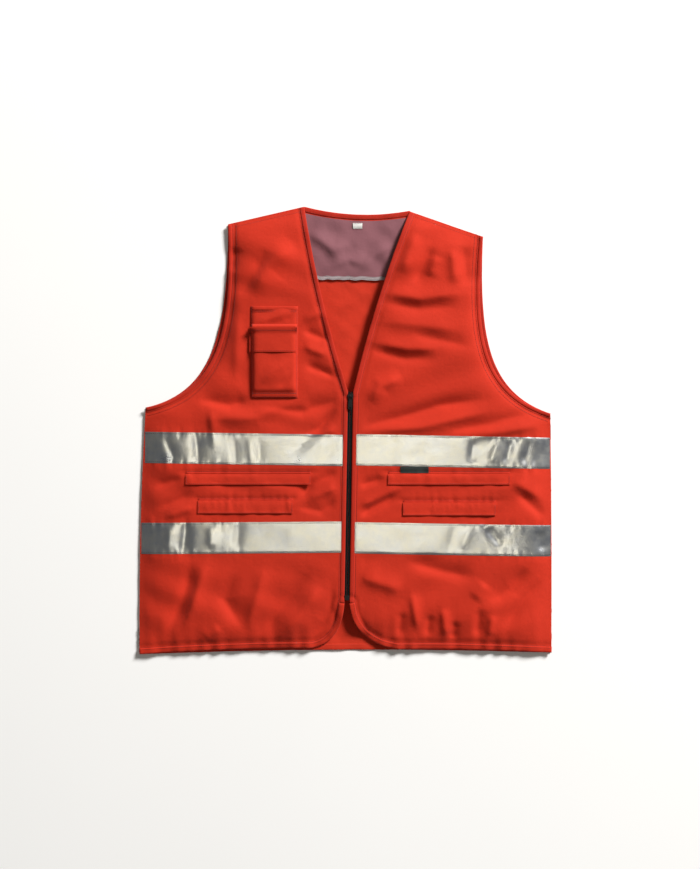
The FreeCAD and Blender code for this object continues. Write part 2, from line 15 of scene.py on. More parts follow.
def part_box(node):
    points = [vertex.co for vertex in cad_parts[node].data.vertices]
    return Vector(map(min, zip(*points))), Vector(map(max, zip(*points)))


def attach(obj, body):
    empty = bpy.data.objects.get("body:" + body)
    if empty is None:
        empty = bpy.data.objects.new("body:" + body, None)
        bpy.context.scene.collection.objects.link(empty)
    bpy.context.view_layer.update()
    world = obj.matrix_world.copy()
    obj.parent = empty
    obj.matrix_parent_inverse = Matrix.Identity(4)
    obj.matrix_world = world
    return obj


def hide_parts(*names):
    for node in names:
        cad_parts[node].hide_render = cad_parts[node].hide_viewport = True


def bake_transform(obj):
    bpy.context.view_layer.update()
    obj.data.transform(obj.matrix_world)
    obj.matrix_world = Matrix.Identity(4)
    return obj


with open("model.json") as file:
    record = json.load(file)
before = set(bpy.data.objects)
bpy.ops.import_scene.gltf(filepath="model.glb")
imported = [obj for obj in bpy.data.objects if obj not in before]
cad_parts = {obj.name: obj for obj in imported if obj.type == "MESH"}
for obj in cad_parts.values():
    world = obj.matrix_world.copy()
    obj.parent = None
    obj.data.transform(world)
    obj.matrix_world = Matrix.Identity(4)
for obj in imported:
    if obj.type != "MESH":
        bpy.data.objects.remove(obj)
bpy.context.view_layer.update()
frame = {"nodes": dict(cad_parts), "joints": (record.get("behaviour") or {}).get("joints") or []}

MM = 0.001
SIDES = {"right": -1, "left": 1}

# Levels that come from the CAD model
FRONT_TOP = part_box("right_front_edge")[1].z / MM
BACK_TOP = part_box("back_panel")[1].z / MM

# How high the cloth lies where it comes to an edge
SEAM_TOP = 3.2
ARMHOLE_TOP = 6.5
HEM_TOP = 6.5
BACK_LOW = 0.9
BACK_HIGH = 5.0

# How much the listed folds are raised, and the level direction that the main light comes from
FOLD_STRENGTH = 2.4
LIGHTWARD = np.array([0.67, 0.74])

# The thickness of the cloth, half the width of a crease, and how far apart a sheet's points lie,
# away from a crease and at one
CLOTH = 0.7
CREASE_HALF = 6.0
GRID = 3.6
FINE = 1.7
SHARP_EDGE = math.radians(50)

STITCH_PITCH = 3.3
STITCH_LENGTH = 2.5
STITCH_HALF = 0.38
STITCH_RISE = 0.22
FLAP_INSET = 1.6

# About the size of a reflective tape on a front
TAPE_LENGTH = 290
TAPE_WIDTH = 50

# How far a front's edge lies from the middle of the zip, and how far apart the teeth are
ZIP_EDGE = 4.2
TOOTH_PITCH = 1.5

# The larger folds of each front: its height, its width, and a few points along it
FOLDS = {
    "right": [
        (3.6, 22.0, (-150, 215), (-125, 260), (-80, 295)),
        (-1.8, 14.0, (-170, 215), (-145, 250), (-125, 290)),
        (1.5, 9.0, (-70, 175), (-35, 190)),
        (-1.8, 8.0, (-70, 160), (-30, 145)),
        (1.5, 9.0, (-70, 135), (-30, 120)),
        (-1.8, 8.0, (-65, 105), (-15, 85)),
        (1.2, 12.0, (-175, 75), (-175, 150), (-170, 200)),
        (-2.4, 11.0, (-235, 50), (-185, 40), (-145, 50)),
        (-2.4, 12.0, (-135, 40), (-70, 30), (-10, 50)),
        (2.4, 16.0, (-225, 20), (-145, 20), (-60, 55)),
        (-2.7, 9.0, (-90, -40), (-45, 0), (-15, 35)),
        (2.1, 9.0, (-70, -45), (-15, 5)),
        (-1.5, 8.0, (-35, -45), (-5, -15)),
        (-1.8, 9.0, (-290, -10), (-270, -55)),
        (-2.4, 11.0, (-240, 0), (-235, -55)),
        (1.8, 9.0, (-215, 30), (-210, -30)),
        (-1.5, 8.0, (-180, -10), (-175, -55)),
        (-1.8, 8.0, (-140, -15), (-135, -55)),
        (1.5, 8.0, (-155, -10), (-150, -55)),
        (-1.5, 8.0, (-305, -90), (-260, -75)),
        (-1.5, 8.0, (-300, -125), (-240, -100)),
        (1.5, 8.0, (-290, -140), (-235, -120)),
        (-1.8, 9.0, (-80, -115), (-55, -85), (-10, -65)),
        (1.5, 9.0, (-60, -110), (-10, -90)),
        (-1.5, 9.0, (-80, -120), (-40, -130), (-10, -110)),
        (-2.7, 11.0, (-255, -145), (-260, -200)),
        (1.8, 11.0, (-280, -150), (-285, -195)),
        (-2.4, 10.0, (-170, -145), (-175, -190)),
        (1.8, 11.0, (-215, -150), (-215, -190)),
        (0.9, 12.0, (-85, -150), (-90, -190)),
        (-2.4, 12.0, (-245, -210), (-260, -270), (-285, -325)),
        (2.4, 12.0, (-225, -215), (-245, -285), (-260, -320)),
        (-2.1, 14.0, (-175, -230), (-195, -270), (-165, -315)),
        (2.1, 14.0, (-130, -220), (-145, -280), (-160, -320)),
        (-2.4, 14.0, (-60, -230), (-105, -285), (-135, -330)),
        (2.4, 14.0, (-40, -250), (-80, -305), (-110, -335)),
        (-2.1, 12.0, (-15, -255), (-35, -310), (-55, -330)),
        (1.5, 10.0, (-200, -315), (-225, -335)),
        (-1.8, 12.0, (-185, 255), (-175, 295)),
    ],
    "left": [
        (2.4, 13.0, (90, 250), (100, 280), (115, 315)),
        (-2.1, 12.0, (110, 235), (125, 265), (140, 295)),
        (1.8, 12.0, (135, 245), (145, 280)),
        (-1.6, 13.0, (60, 205), (115, 195), (180, 200)),
        (2.4, 13.0, (60, 220), (120, 210), (190, 220)),
        (1.8, 16.0, (55, 175), (105, 170), (180, 160)),
        (-1.5, 12.0, (105, 155), (200, 135)),
        (-1.5, 12.0, (40, 130), (95, 115), (145, 115)),
        (2.1, 11.0, (45, 140), (100, 130), (150, 130)),
        (2.4, 12.0, (40, 45), (55, 70), (90, 85)),
        (-3.0, 11.0, (25, 5), (85, 20), (150, 40), (220, 50)),
        (2.4, 12.0, (35, -5), (120, 5), (230, 30)),
        (-2.4, 11.0, (170, 0), (230, 10), (300, 30)),
        (1.8, 10.0, (175, -15), (245, -5), (315, 10)),
        (-1.8, 9.0, (205, -15), (200, -55)),
        (-2.4, 9.0, (265, -15), (255, -55)),
        (1.8, 9.0, (245, -15), (230, -55)),
        (-1.8, 9.0, (295, -15), (285, -55)),
        (-2.1, 9.0, (65, -75), (15, -90)),
        (1.5, 9.0, (20, -55), (60, -50)),
        (-2.7, 10.0, (15, -140), (50, -120), (90, -100)),
        (1.8, 9.0, (15, -125), (60, -105), (90, -90)),
        (1.8, 12.0, (265, -80), (315, -110)),
        (-1.8, 10.0, (275, -100), (320, -140)),
        (-2.7, 10.0, (225, -155), (250, -185)),
        (-1.2, 10.0, (175, -150), (165, -195)),
        (1.5, 10.0, (200, -155), (185, -190)),
        (-1.8, 9.0, (310, -160), (315, -195)),
        (-2.4, 14.0, (100, -210), (155, -225), (205, -235)),
        (2.4, 16.0, (25, -235), (90, -255)),
        (-2.1, 12.0, (230, -275), (265, -255), (290, -220)),
        (1.8, 12.0, (205, -270), (225, -245)),
        (-1.8, 8.0, (90, -290), (85, -330)),
        (1.8, 8.0, (105, -260), (115, -320)),
        (-1.8, 8.0, (135, -295), (130, -330)),
        (1.8, 8.0, (155, -285), (160, -330)),
        (-1.8, 8.0, (175, -305), (170, -335)),
        (-1.8, 9.0, (215, -285), (210, -330)),
        (1.8, 8.0, (235, -295), (230, -330)),
        (-2.1, 11.0, (255, -315), (285, -270), (315, -240)),
        (-2.4, 16.0, (190, 295), (195, 230)),
        (1.8, 12.0, (170, 290), (175, 235)),
    ],
}
# Folds of the chest pocket's bag, and of the slip pocket above it
BAG_FOLDS = [
    (3.0, 11.0, (-140, 70), (-115, 95), (-85, 115)),
    (-2.8, 9.0, (-110, 62), (-90, 85), (-80, 110)),
]
SLIP_FOLDS = [
    (1.8, 8.0, (-145, 172), (-115, 180), (-85, 192)),
    (-1.8, 9.0, (-130, 168), (-100, 172), (-80, 184)),
]
# Folds of the back that show between the fronts
BACK_FOLDS = [
    (1.6, 13.0, (-30, 190), (10, 205), (60, 235)),
    (1.4, 12.0, (-20, 150), (15, 170), (45, 200)),
    (1.6, 14.0, (-60, 320), (-20, 290), (10, 300)),
    (1.4, 10.0, (20, 250), (45, 280), (80, 300)),
    (1.2, 10.0, (-25, 260), (5, 275), (30, 265)),
]


# --- lines in the plane -----------------------------------------------------------------------

def plate_loops(node):
    """The outlines of a plate's upper face, the longest first, anticlockwise round the cloth."""
    mesh = frame["nodes"][node].data
    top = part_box(node)[1].z
    directed = {}
    for face in mesh.polygons:
        corners = [mesh.vertices[i].co for i in face.vertices]
        if min(c.z for c in corners) < top - 0.01 * MM:
            continue
        keys = [(round(c.x / MM, 3), round(c.y / MM, 3)) for c in corners]
        for a, b in zip(keys, keys[1:] + keys[:1]):
            directed[(a, b)] = True
    following = {a: b for a, b in directed if (b, a) not in directed and a != b}
    loops = []
    while following:
        start, at = next(iter(following.items()))
        loop = [start]
        while at != start:
            loop.append(at)
            at = following.pop(at)
        following.pop(start, None)
        loops.append(np.array(loop))
    return sorted(loops, key=len_of_loop, reverse=True)


def len_of_loop(loop):
    return np.hypot(*(np.roll(loop, -1, axis=0) - loop).T).sum()


def length_of(path):
    return np.hypot(*np.diff(path, axis=0).T).sum()


def unit(vector):
    return vector / max(math.hypot(*vector), 1e-9)


def squarish(turn, power):
    """A point of a rounded square, 1 from its middle to a side, at an angle round it."""
    return [math.copysign(abs(part) ** power, part) for part in (math.cos(turn), math.sin(turn))]


def opened(loop):
    """A closed outline cut open at its longest side."""
    sides = np.hypot(*(np.roll(loop, -1, axis=0) - loop).T)
    return np.roll(loop, -(int(sides.argmax()) + 1), axis=0)


def spaced(path, step):
    """Points about a step apart along an open path, its ends among them."""
    lengths = np.concatenate([[0], np.cumsum(np.hypot(*np.diff(path, axis=0).T))])
    count = max(2, int(round(lengths[-1] / step)) + 1)
    at = np.linspace(0, lengths[-1], count)
    return np.stack([np.interp(at, lengths, path[:, i]) for i in (0, 1)], axis=1)


def with_points(loop):
    """A closed outline with points a step apart all along it."""
    return np.concatenate([
        spaced(np.array([a, b]), GRID)[:-1] for a, b in zip(loop, np.roll(loop, -1, axis=0))
    ])


def between(loop, start, end):
    """The open path of a closed outline from one of its points on to another."""
    count = (end - start) % len(loop)
    return np.array([loop[(start + i) % len(loop)] for i in range(count + 1)])


def aside(path):
    """The unit vector to the left of a path at each of its points."""
    along = np.gradient(path, axis=0)
    along /= np.maximum(np.hypot(*along.T), 1e-9)[:, None]
    return np.stack([-along[:, 1], along[:, 0]], axis=1)


def nearest(points, path):
    """How far each point lies from a path, and how far along the path that is."""
    gap, where, done = np.full(len(points), 1e9), np.zeros(len(points)), 0.0
    for a, b in zip(path[:-1], path[1:]):
        side = b - a
        length = math.hypot(*side)
        share = np.clip((points - a) @ side / max(length, 1e-9) ** 2, 0, 1)
        off = np.hypot(*(points - a - share[:, None] * side).T)
        closer = off < gap
        gap[closer] = off[closer]
        where[closer] = done + share[closer] * length
        done += length
    return gap, where


def inside(points, loop):
    """Whether each point lies within a closed outline."""
    within = np.zeros(len(points), bool)
    x, y = points.T
    for (ax, ay), (bx, by) in zip(loop, np.roll(loop, -1, axis=0)):
        if ay == by:
            continue
        crosses = ((ay > y) != (by > y)) & (x < (bx - ax) * (y - ay) / (by - ay) + ax)
        within ^= crosses
    return within


def smooth(values, low, high):
    share = np.clip((values - low) / (high - low), 0, 1)
    return share * share * (3 - 2 * share)


def waves(points, length, seed, count=8):
    """A smooth random height of about 1 either way, with waves of about this length."""
    draw = random.Random(seed)
    total = np.zeros(len(points))
    for _ in range(count):
        turn = draw.uniform(0, math.tau)
        pitch = math.tau / (length * draw.uniform(0.7, 1.5))
        ahead = points @ np.array([math.cos(turn), math.sin(turn)])
        total += np.sin(ahead * pitch + draw.uniform(0, math.tau))
    return total / math.sqrt(count)


def folded(points, folds):
    """The height that the listed folds add, soft towards the light and steep away from it."""
    total = np.zeros(len(points))
    for height, width, *line in folds:
        path = np.array(line, float)
        off, along = nearest(points, path)
        lit = smooth(off - nearest(points - LIGHTWARD, path)[0], -1.0, 1.0)
        length = length_of(path)
        ends = smooth(along, -0.1 * length, 0.3 * length)
        ends *= smooth(-along, -1.1 * length, -0.7 * length)
        total += height * ends * np.exp(-((off / (width * (0.62 + 0.5 * lit))) ** 1.6))
    return total


def drawn(points, turn, stretch):
    """Points turned and squeezed, so that waves over them run long in one direction."""
    along = points @ np.array([math.cos(turn), math.sin(turn)])
    across = points @ np.array([-math.sin(turn), math.cos(turn)])
    return np.column_stack([along / stretch, across])


# --- where things are -------------------------------------------------------------------------

def box(node):
    """A node's lowest and highest corner, in millimetres."""
    low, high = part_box(node)
    return np.array(low) / MM, np.array(high) / MM


def joint(name):
    return next(j for j in frame["joints"] if j["name"] == name)


ZIP_DOWN = np.array(joint("zip_slide")["axis"][:2])
ZIP_ACROSS = np.array([-ZIP_DOWN[1], ZIP_DOWN[0]])
if ZIP_ACROSS[0] < 0:
    ZIP_ACROSS = -ZIP_ACROSS
SLIDER_LOW, SLIDER_HIGH = box("zip_slider")
SLIDER_MIDDLE = (SLIDER_LOW + SLIDER_HIGH)[:2] / 2
ZIP_TOP = box("left_zip_tape")[1][1]
ZIP_TOP = SLIDER_MIDDLE + ZIP_DOWN * ((ZIP_TOP - SLIDER_MIDDLE[1]) / ZIP_DOWN[1])
ZIP_LENGTH = (ZIP_TOP[1] - box("zip_retainer_box")[0][1]) / -ZIP_DOWN[1]
SLIDER_ALONG = (SLIDER_MIDDLE - ZIP_TOP) @ ZIP_DOWN


def on_zip(across, along):
    return ZIP_TOP + ZIP_ACROSS * across + ZIP_DOWN * along


def farthest(loop, x, y):
    """The index of the point of an outline that lies farthest in a direction."""
    return int((loop @ np.array([x, y])).argmax())


def closest(loop, point):
    return int(np.hypot(*(loop - point).T).argmin())


def front_shape(side, out):
    """The outline of a whole front, and its named edges, each from the neck round to the zip."""
    panel, *slits = plate_loops(f"{side}_front_panel")
    loop = np.concatenate([opened(panel), opened(plate_loops(f"{side}_front_edge")[0])])
    if out > 0:
        loop = loop[::-1]
    neck, shoulder = farthest(loop, -0.3 * out, 1), farthest(loop, out, 1)
    armpit, hem = farthest(loop, 6 * out, 1), farthest(loop, out, -1)
    top = closest(loop, on_zip(out * ZIP_EDGE, 0))
    bottom = closest(loop, on_zip(out * ZIP_EDGE, ZIP_LENGTH + 4))
    edges = {
        "shoulder": (neck, shoulder), "armhole": (shoulder, armpit), "side": (armpit, hem),
        "hem": (hem, bottom), "zip": (bottom, top), "neckline": (top, neck),
    }
    shape = {name: spaced(between(loop, *ends), GRID) for name, ends in edges.items()}
    shape["loop"] = np.concatenate([shape[name][:-1] for name in edges])
    shape["slits"] = slits
    return shape


def back_shape():
    loop = plate_loops("back_panel")[0]
    corner = {
        (side, name): farthest(loop, x * out, y)
        for side, out in SIDES.items()
        for name, x, y in (("neck", 0.3, 1), ("shoulder", 1, 1), ("armpit", 6, 1), ("hem", 1, -1))
    }
    stops = [("right", "neck"), ("right", "shoulder"), ("right", "armpit"), ("right", "hem"),
             ("left", "hem"), ("left", "armpit"), ("left", "shoulder"), ("left", "neck")]
    names = ["right_shoulder", "right_armhole", "right_side", "hem",
             "left_side", "left_armhole", "left_shoulder", "neck"]
    edges = {
        name: spaced(between(loop, corner[a], corner[b]), GRID)
        for name, a, b in zip(names, stops, stops[1:] + stops[:1])
    }
    edges["loop"] = np.concatenate([edges[name][:-1] for name in names])
    return edges


FRONT = {side: front_shape(side, out) for side, out in SIDES.items()}
BACK = back_shape()


def crease_ends(side):
    """Where the cloth of a front starts and ends its turn at the crease, in metres."""
    fold = joint(f"{side}_front_fold")
    along = Vector(fold["axis"]).normalized()
    out = Vector((along.y, -along.x, 0))
    if out.x * SIDES[side] < 0:
        out = -out
    middle = Vector(fold["pos_m"])
    middle.z = FRONT_TOP * MM
    reach = out * CREASE_HALF * MM
    return middle + reach, middle - reach


# --- heights of the cloth -----------------------------------------------------------------------

class Relief:
    """Heights worked out once on a grid, and read from it anywhere."""

    STEP = 2.0
    MARGIN = 16

    def __init__(self, loop, height):
        self.low = loop.min(0) - self.MARGIN
        counts = ((loop.max(0) + self.MARGIN - self.low) / self.STEP).astype(int) + 2
        x, y = (self.low[i] + self.STEP * np.arange(counts[i]) for i in (0, 1))
        points = np.stack(np.meshgrid(x, y, indexing="ij"), axis=-1).reshape(-1, 2)
        self.values = height(points).reshape(counts)

    def __call__(self, points):
        at = (np.asarray(points, float).reshape(-1, 2) - self.low) / self.STEP
        at = np.clip(at, 0, np.array(self.values.shape) - 1.001)
        i, j = at.astype(int).T
        u, v = (at - at.astype(int)).T
        rows = self.values[i, j] * (1 - u) + self.values[i + 1, j] * u
        above = self.values[i, j + 1] * (1 - u) + self.values[i + 1, j + 1] * u
        return rows * (1 - v) + above * v


def top_line(low, high):
    return np.array([(low[0], high[1]), (high[0], high[1])])


def tape_corners(side, tape):
    """A front tape's corners: outer bottom, zip bottom, zip top and outer top."""
    out = SIDES[side]
    outer = plate_loops(f"{side}_{tape}_tape")[0]
    inner = plate_loops(f"{side}_{tape}_tape_end")[0]
    return (outer[farthest(outer, out, -1)], inner[farthest(inner, -out, -1)],
            inner[farthest(inner, -out, 1)], outer[farthest(outer, out, 1)])


def puckers(points, side):
    """The small gathers that the seams of the tapes and flaps draw into a front."""
    total = np.zeros(len(points))
    for number, tape in enumerate(("upper", "lower")):
        ob, zb, zt, ot = tape_corners(side, tape)
        for edge, line in enumerate((np.array([zb, ob]), np.array([zt, ot]))):
            off, along = nearest(points, line)
            length = math.hypot(*(line[1] - line[0]))
            draw = along[:, None] * [1.0, 0.0] + 300 * edge
            ripple = waves(draw, 11, 40 + number) + 0.7 * waves(draw, 19, 50 + number)
            grow = 0.05 + 0.7 * smooth(along, 0.3 * length, 0.95 * length)
            total += 0.55 * ripple * grow * np.exp(-((off / 9) ** 2))
    for number, row in enumerate(("upper", "lower")):
        low, high = box(f"{side}_{row}_pocket_flap")
        off, along = nearest(points, top_line(low, high))
        draw = along[:, None] * [1.0, 0.0]
        total += 0.45 * waves(draw, 12, 60 + number) * np.exp(-((off / 14) ** 2))
    return total


def front_height(side):
    shape = FRONT[side]

    def height(points):
        z = np.full(len(points), FRONT_TOP)
        for edge, level, reach in (
            ("side", SEAM_TOP, 24), ("shoulder", SEAM_TOP, 22),
            ("armhole", ARMHOLE_TOP, 17), ("hem", HEM_TOP, 22),
        ):
            off, along = nearest(points, shape[edge])
            drop = (FRONT_TOP - level) * np.exp(-((off / reach) ** 1.35))
            if edge == "hem":
                length = length_of(shape[edge])
                drop *= 1 - smooth(along, length - 75, length - 5)
            z = z - drop * (z - level) / (FRONT_TOP - level)
        zip_off = nearest(points, shape["zip"])[0]
        sewn = np.minimum(nearest(points, shape["side"])[0], nearest(points, shape["shoulder"])[0])
        loose = smooth(zip_off, 7, 26) * (0.25 + 0.75 * smooth(sewn, 0, 22))
        hem_off = nearest(points, shape["hem"])[0]
        crumple = FOLD_STRENGTH * folded(points, FOLDS[side])
        crumple += 0.9 * waves(drawn(points, 0.4 * SIDES[side], 3.5), 38, 3)
        crumple += 1.3 * waves(points * [1.0, 0.25], 26, 5) * np.exp(-hem_off / 28)
        for tape in ("upper", "lower"):
            ob, zb, zt, ot = tape_corners(side, tape)
            off, along = nearest(points, np.array([(zb + zt) / 2, (ob + ot) / 2]))
            out = along / math.hypot(*(ob - zb))
            held = (1 - smooth(off, 20, 36)) * (1 - 0.4 * smooth(out, 0.2, 0.9))
            crumple *= 1 - 0.9 * held
        for row in ("upper", "lower"):
            low, high = box(f"{side}_{row}_pocket_flap")
            off = nearest(points, top_line(low, high))[0]
            crumple *= 0.35 + 0.65 * smooth(off, 4, 26)
            crumple -= 2.6 * np.exp(-(((points[:, 1] - high[1] - 3.6) / 3.6) ** 2)) * np.exp(-off / 8)
        if side == "right":
            low, high = box("chest_slip_pocket")
            gap = np.maximum(np.maximum(low[:2] - points, points - high[:2]).max(1), 0)
            crumple *= 0.25 + 0.75 * smooth(gap, 2, 22)
        z = z + loose * (crumple + puckers(points, side))
        for edge, away, depth in (("armhole", 9, 1.5), ("neckline", 10, 1.2), ("hem", 11.5, 1.3)):
            z -= depth * np.exp(-(((nearest(points, shape[edge])[0] - away) / 3.2) ** 2))
        return np.maximum(z, BACK_TOP + CLOTH + 0.5)

    return height


def back_height(points):
    arm = np.minimum(*(nearest(points, BACK[f"{side}_armhole"])[0] for side in SIDES))
    z = BACK_LOW + 0.7 + 0.5 * waves(points, 85, 11) + 0.25 * waves(points, 30, 12)
    z += folded(points, BACK_FOLDS)
    z += 0.6 * np.exp(-arm / 8)
    z += 0.5 * (1 + waves(points * [1.0, 0.2], 30, 13)) * np.exp(-nearest(points, BACK["hem"])[0] / 25)
    seam = np.minimum(*(nearest(points, BACK[f"{side}_side"])[0] for side in SIDES))
    return np.clip(z, BACK_LOW + CLOTH - 0.1, np.minimum(BACK_HIGH, 1.7 + 0.12 * seam))


FRONT_Z = {side: Relief(FRONT[side]["loop"], front_height(side)) for side in SIDES}
BACK_Z = Relief(BACK["loop"], back_height)


# --- meshes -------------------------------------------------------------------------------------

def add(name, vertices, faces, material, smooth_faces=True):
    """A new object from vertices in millimetres."""
    mesh = bpy.data.meshes.new(name)
    mesh.from_pydata([tuple(c * MM for c in v) for v in vertices], [], faces)
    mesh.validate()
    mesh.update()
    thing = bpy.data.objects.new(name, mesh)
    bpy.context.scene.collection.objects.link(thing)
    thing.data.materials.append(material)
    if smooth_faces:
        mesh.polygons.foreach_set("use_smooth", [True] * len(mesh.polygons))
    return thing


def apply(thing):
    """Make the shown mesh, modifiers and all, the object's own mesh."""
    graph = bpy.context.evaluated_depsgraph_get()
    thing.data = bpy.data.meshes.new_from_object(thing.evaluated_get(graph))
    thing.modifiers.clear()
    return thing


def thicken(thing, thick=CLOTH, offset=-1.0):
    solid = thing.modifiers.new("thickness", "SOLIDIFY")
    solid.thickness = thick * MM
    solid.offset = offset
    apply(thing).data.set_sharp_from_angle(angle=SHARP_EDGE)
    return thing


def sown(low, high, step):
    """Points all over a rectangle, in staggered rows."""
    rows = np.arange(low[1], high[1], step * math.sqrt(3) / 2)
    return np.array([
        (x + (step / 2 if number % 2 else 0), y)
        for number, y in enumerate(rows)
        for x in np.arange(low[0], high[0], step)
    ])


def cloth_sheet(name, loop, holes, height, material, thick=CLOTH, crease=None):
    """A sheet cut to an outline with holes. It's finer at a crease: its middle, and across it."""
    rims = [loop] + [with_points(hole) for hole in holes]
    low, high = loop.min(0), loop.max(0)
    grid = sown(low, high, GRID)
    if crease:
        middle, across = crease
        fine = sown(low, high, FINE)
        turning = np.abs((fine - middle) @ across) < CREASE_HALF + 2
        grid = np.concatenate([grid[np.abs((grid - middle) @ across) > CREASE_HALF + 3], fine[turning]])
    keep = inside(grid, loop)
    for rim in rims:
        keep &= nearest(grid, np.concatenate([rim, rim[:1]]))[0] > 0.55 * GRID
    for rim in rims[1:]:
        keep &= ~inside(grid, rim)
    edges, first = [], 0
    for rim in rims:
        edges += [(first + i, first + (i + 1) % len(rim)) for i in range(len(rim))]
        first += len(rim)
    points = np.concatenate(rims + [grid[keep]])
    flat, _, faces, *_ = geometry.delaunay_2d_cdt([Vector(p) for p in points], edges, [], 0, 1e-4)
    flat = np.array(flat)
    middles = np.array([flat[face].mean(0) for face in faces])
    good = inside(middles, loop)
    for rim in rims[1:]:
        good &= ~inside(middles, rim)
    vertices = np.column_stack([flat, height(flat)])
    return thicken(add(name, vertices, [f for f, ok in zip(faces, good) if ok], material), thick)


def corners_of(low, high):
    return [(low[0], low[1]), (high[0], low[1]), (high[0], high[1]), (low[0], high[1])]


def walls(rings, count):
    """The faces of a tube, from rings of count points each."""
    faces = [
        (i * count + j, i * count + (j + 1) % count,
         (i + 1) * count + (j + 1) % count, (i + 1) * count + j)
        for i in range(rings - 1)
        for j in range(count)
    ]
    last = (rings - 1) * count
    return faces + [tuple(range(count))[::-1], tuple(last + j for j in range(count))]


def grid_sheet(name, corners, cells, height, material, thick=CLOTH):
    """A four-cornered sheet. Height takes points and their shares along and across, and says z."""
    a, b, c, d = (np.array(corner, float) for corner in corners)
    along, across = cells
    u, v = np.meshgrid(np.linspace(0, 1, along + 1), np.linspace(0, 1, across + 1), indexing="ij")
    u, v = u.ravel(), v.ravel()
    points = (np.outer((1 - u) * (1 - v), a) + np.outer(u * (1 - v), b)
              + np.outer(u * v, c) + np.outer((1 - u) * v, d))
    heights = height(points, u, v)
    step = across + 1
    faces = [
        (i * step + j, (i + 1) * step + j, (i + 1) * step + j + 1, i * step + j + 1)
        for i in range(along)
        for j in range(across)
    ]
    turn = (b - a)[0] * (d - a)[1] - (b - a)[1] * (d - a)[0]
    if turn < 0:
        faces = [face[::-1] for face in faces]
    return thicken(add(name, np.column_stack([points, heights]), faces, material), thick)


def rolled_edge(name, path, inward, material, height, width=8.0, thick=1.7, over=0.9, lift=-0.35):
    """A strip folded over the edge of the cloth: a flattened tube along it."""
    path = spaced(path, 3.0)
    side = aside(path) * inward
    middle = path + side * (width / 2 - over)
    level = height(middle) + lift
    tilt = (height(path + side * (width - over)) - height(path + side * 0.6)) / (width - over)
    count = 12
    rings = []
    for turn in np.linspace(0, math.tau, count, endpoint=False):
        out, up = squarish(turn, 0.7)
        out, up = out * width / 2, up * thick / 2
        rings.append(np.column_stack([middle + side * out, level + up + tilt * out]))
    rings = np.stack(rings, axis=1)
    faces = walls(len(path), count)
    if inward > 0:
        faces = [face[::-1] for face in faces]
    return add(name, rings.reshape(-1, 3), faces, material)


class Thread:
    """A run of stitches: short rounded bars that lie on the cloth, gathered into one mesh."""

    def __init__(self, name, material):
        self.name, self.material = name, material
        self.vertices, self.faces = [], []

    def sew(self, path, height, lift=0.12, inset=0.0, pitch=STITCH_PITCH):
        path = np.array(path, float)
        if inset:
            path = path + aside(path) * inset
        stops = spaced(path, pitch)
        for a, b in zip(stops[:-1], stops[1:]):
            along = unit(b - a)
            middle = (a + b) / 2
            ends = middle - along * STITCH_LENGTH / 2, middle + along * STITCH_LENGTH / 2
            self.bar(*ends, height, lift)

    def across(self, low, high, inset, y, height, lift):
        """A row from one side of a box to the other."""
        self.sew([(low[0] + inset, y), (high[0] - inset, y)], height, lift)

    def down_sides(self, low, high, inset, bottom, top, height, lift):
        """A row along each side of a box."""
        for x in (low[0] + inset, high[0] - inset):
            self.sew([(x, bottom), (x, top)], height, lift)

    def bar(self, start, end, height, lift):
        along = unit(end - start)
        side = np.array([-along[1], along[0]]) * STITCH_HALF
        first = len(self.vertices)
        places = [start, start + (end - start) * 0.25, start + (end - start) * 0.75, end]
        for place, rise in zip(places, (-0.25, STITCH_RISE, STITCH_RISE, -0.25)):
            left, middle, right = place + side, place, place - side
            z = float(height(middle.reshape(1, 2))[0]) + lift
            self.vertices += [(*left, z - 0.2), (*middle, z + rise), (*right, z - 0.2)]
        for i in range(3):
            base = first + 3 * i
            self.faces += [(base, base + 1, base + 4, base + 3), (base + 1, base + 2, base + 5, base + 4),
                           (base + 2, base, base + 3, base + 5)]
        self.faces += [(first + 2, first + 1, first), (first + 9, first + 10, first + 11)]

    def done(self):
        return add(self.name, self.vertices, self.faces, self.material)


# --- materials ----------------------------------------------------------------------------------

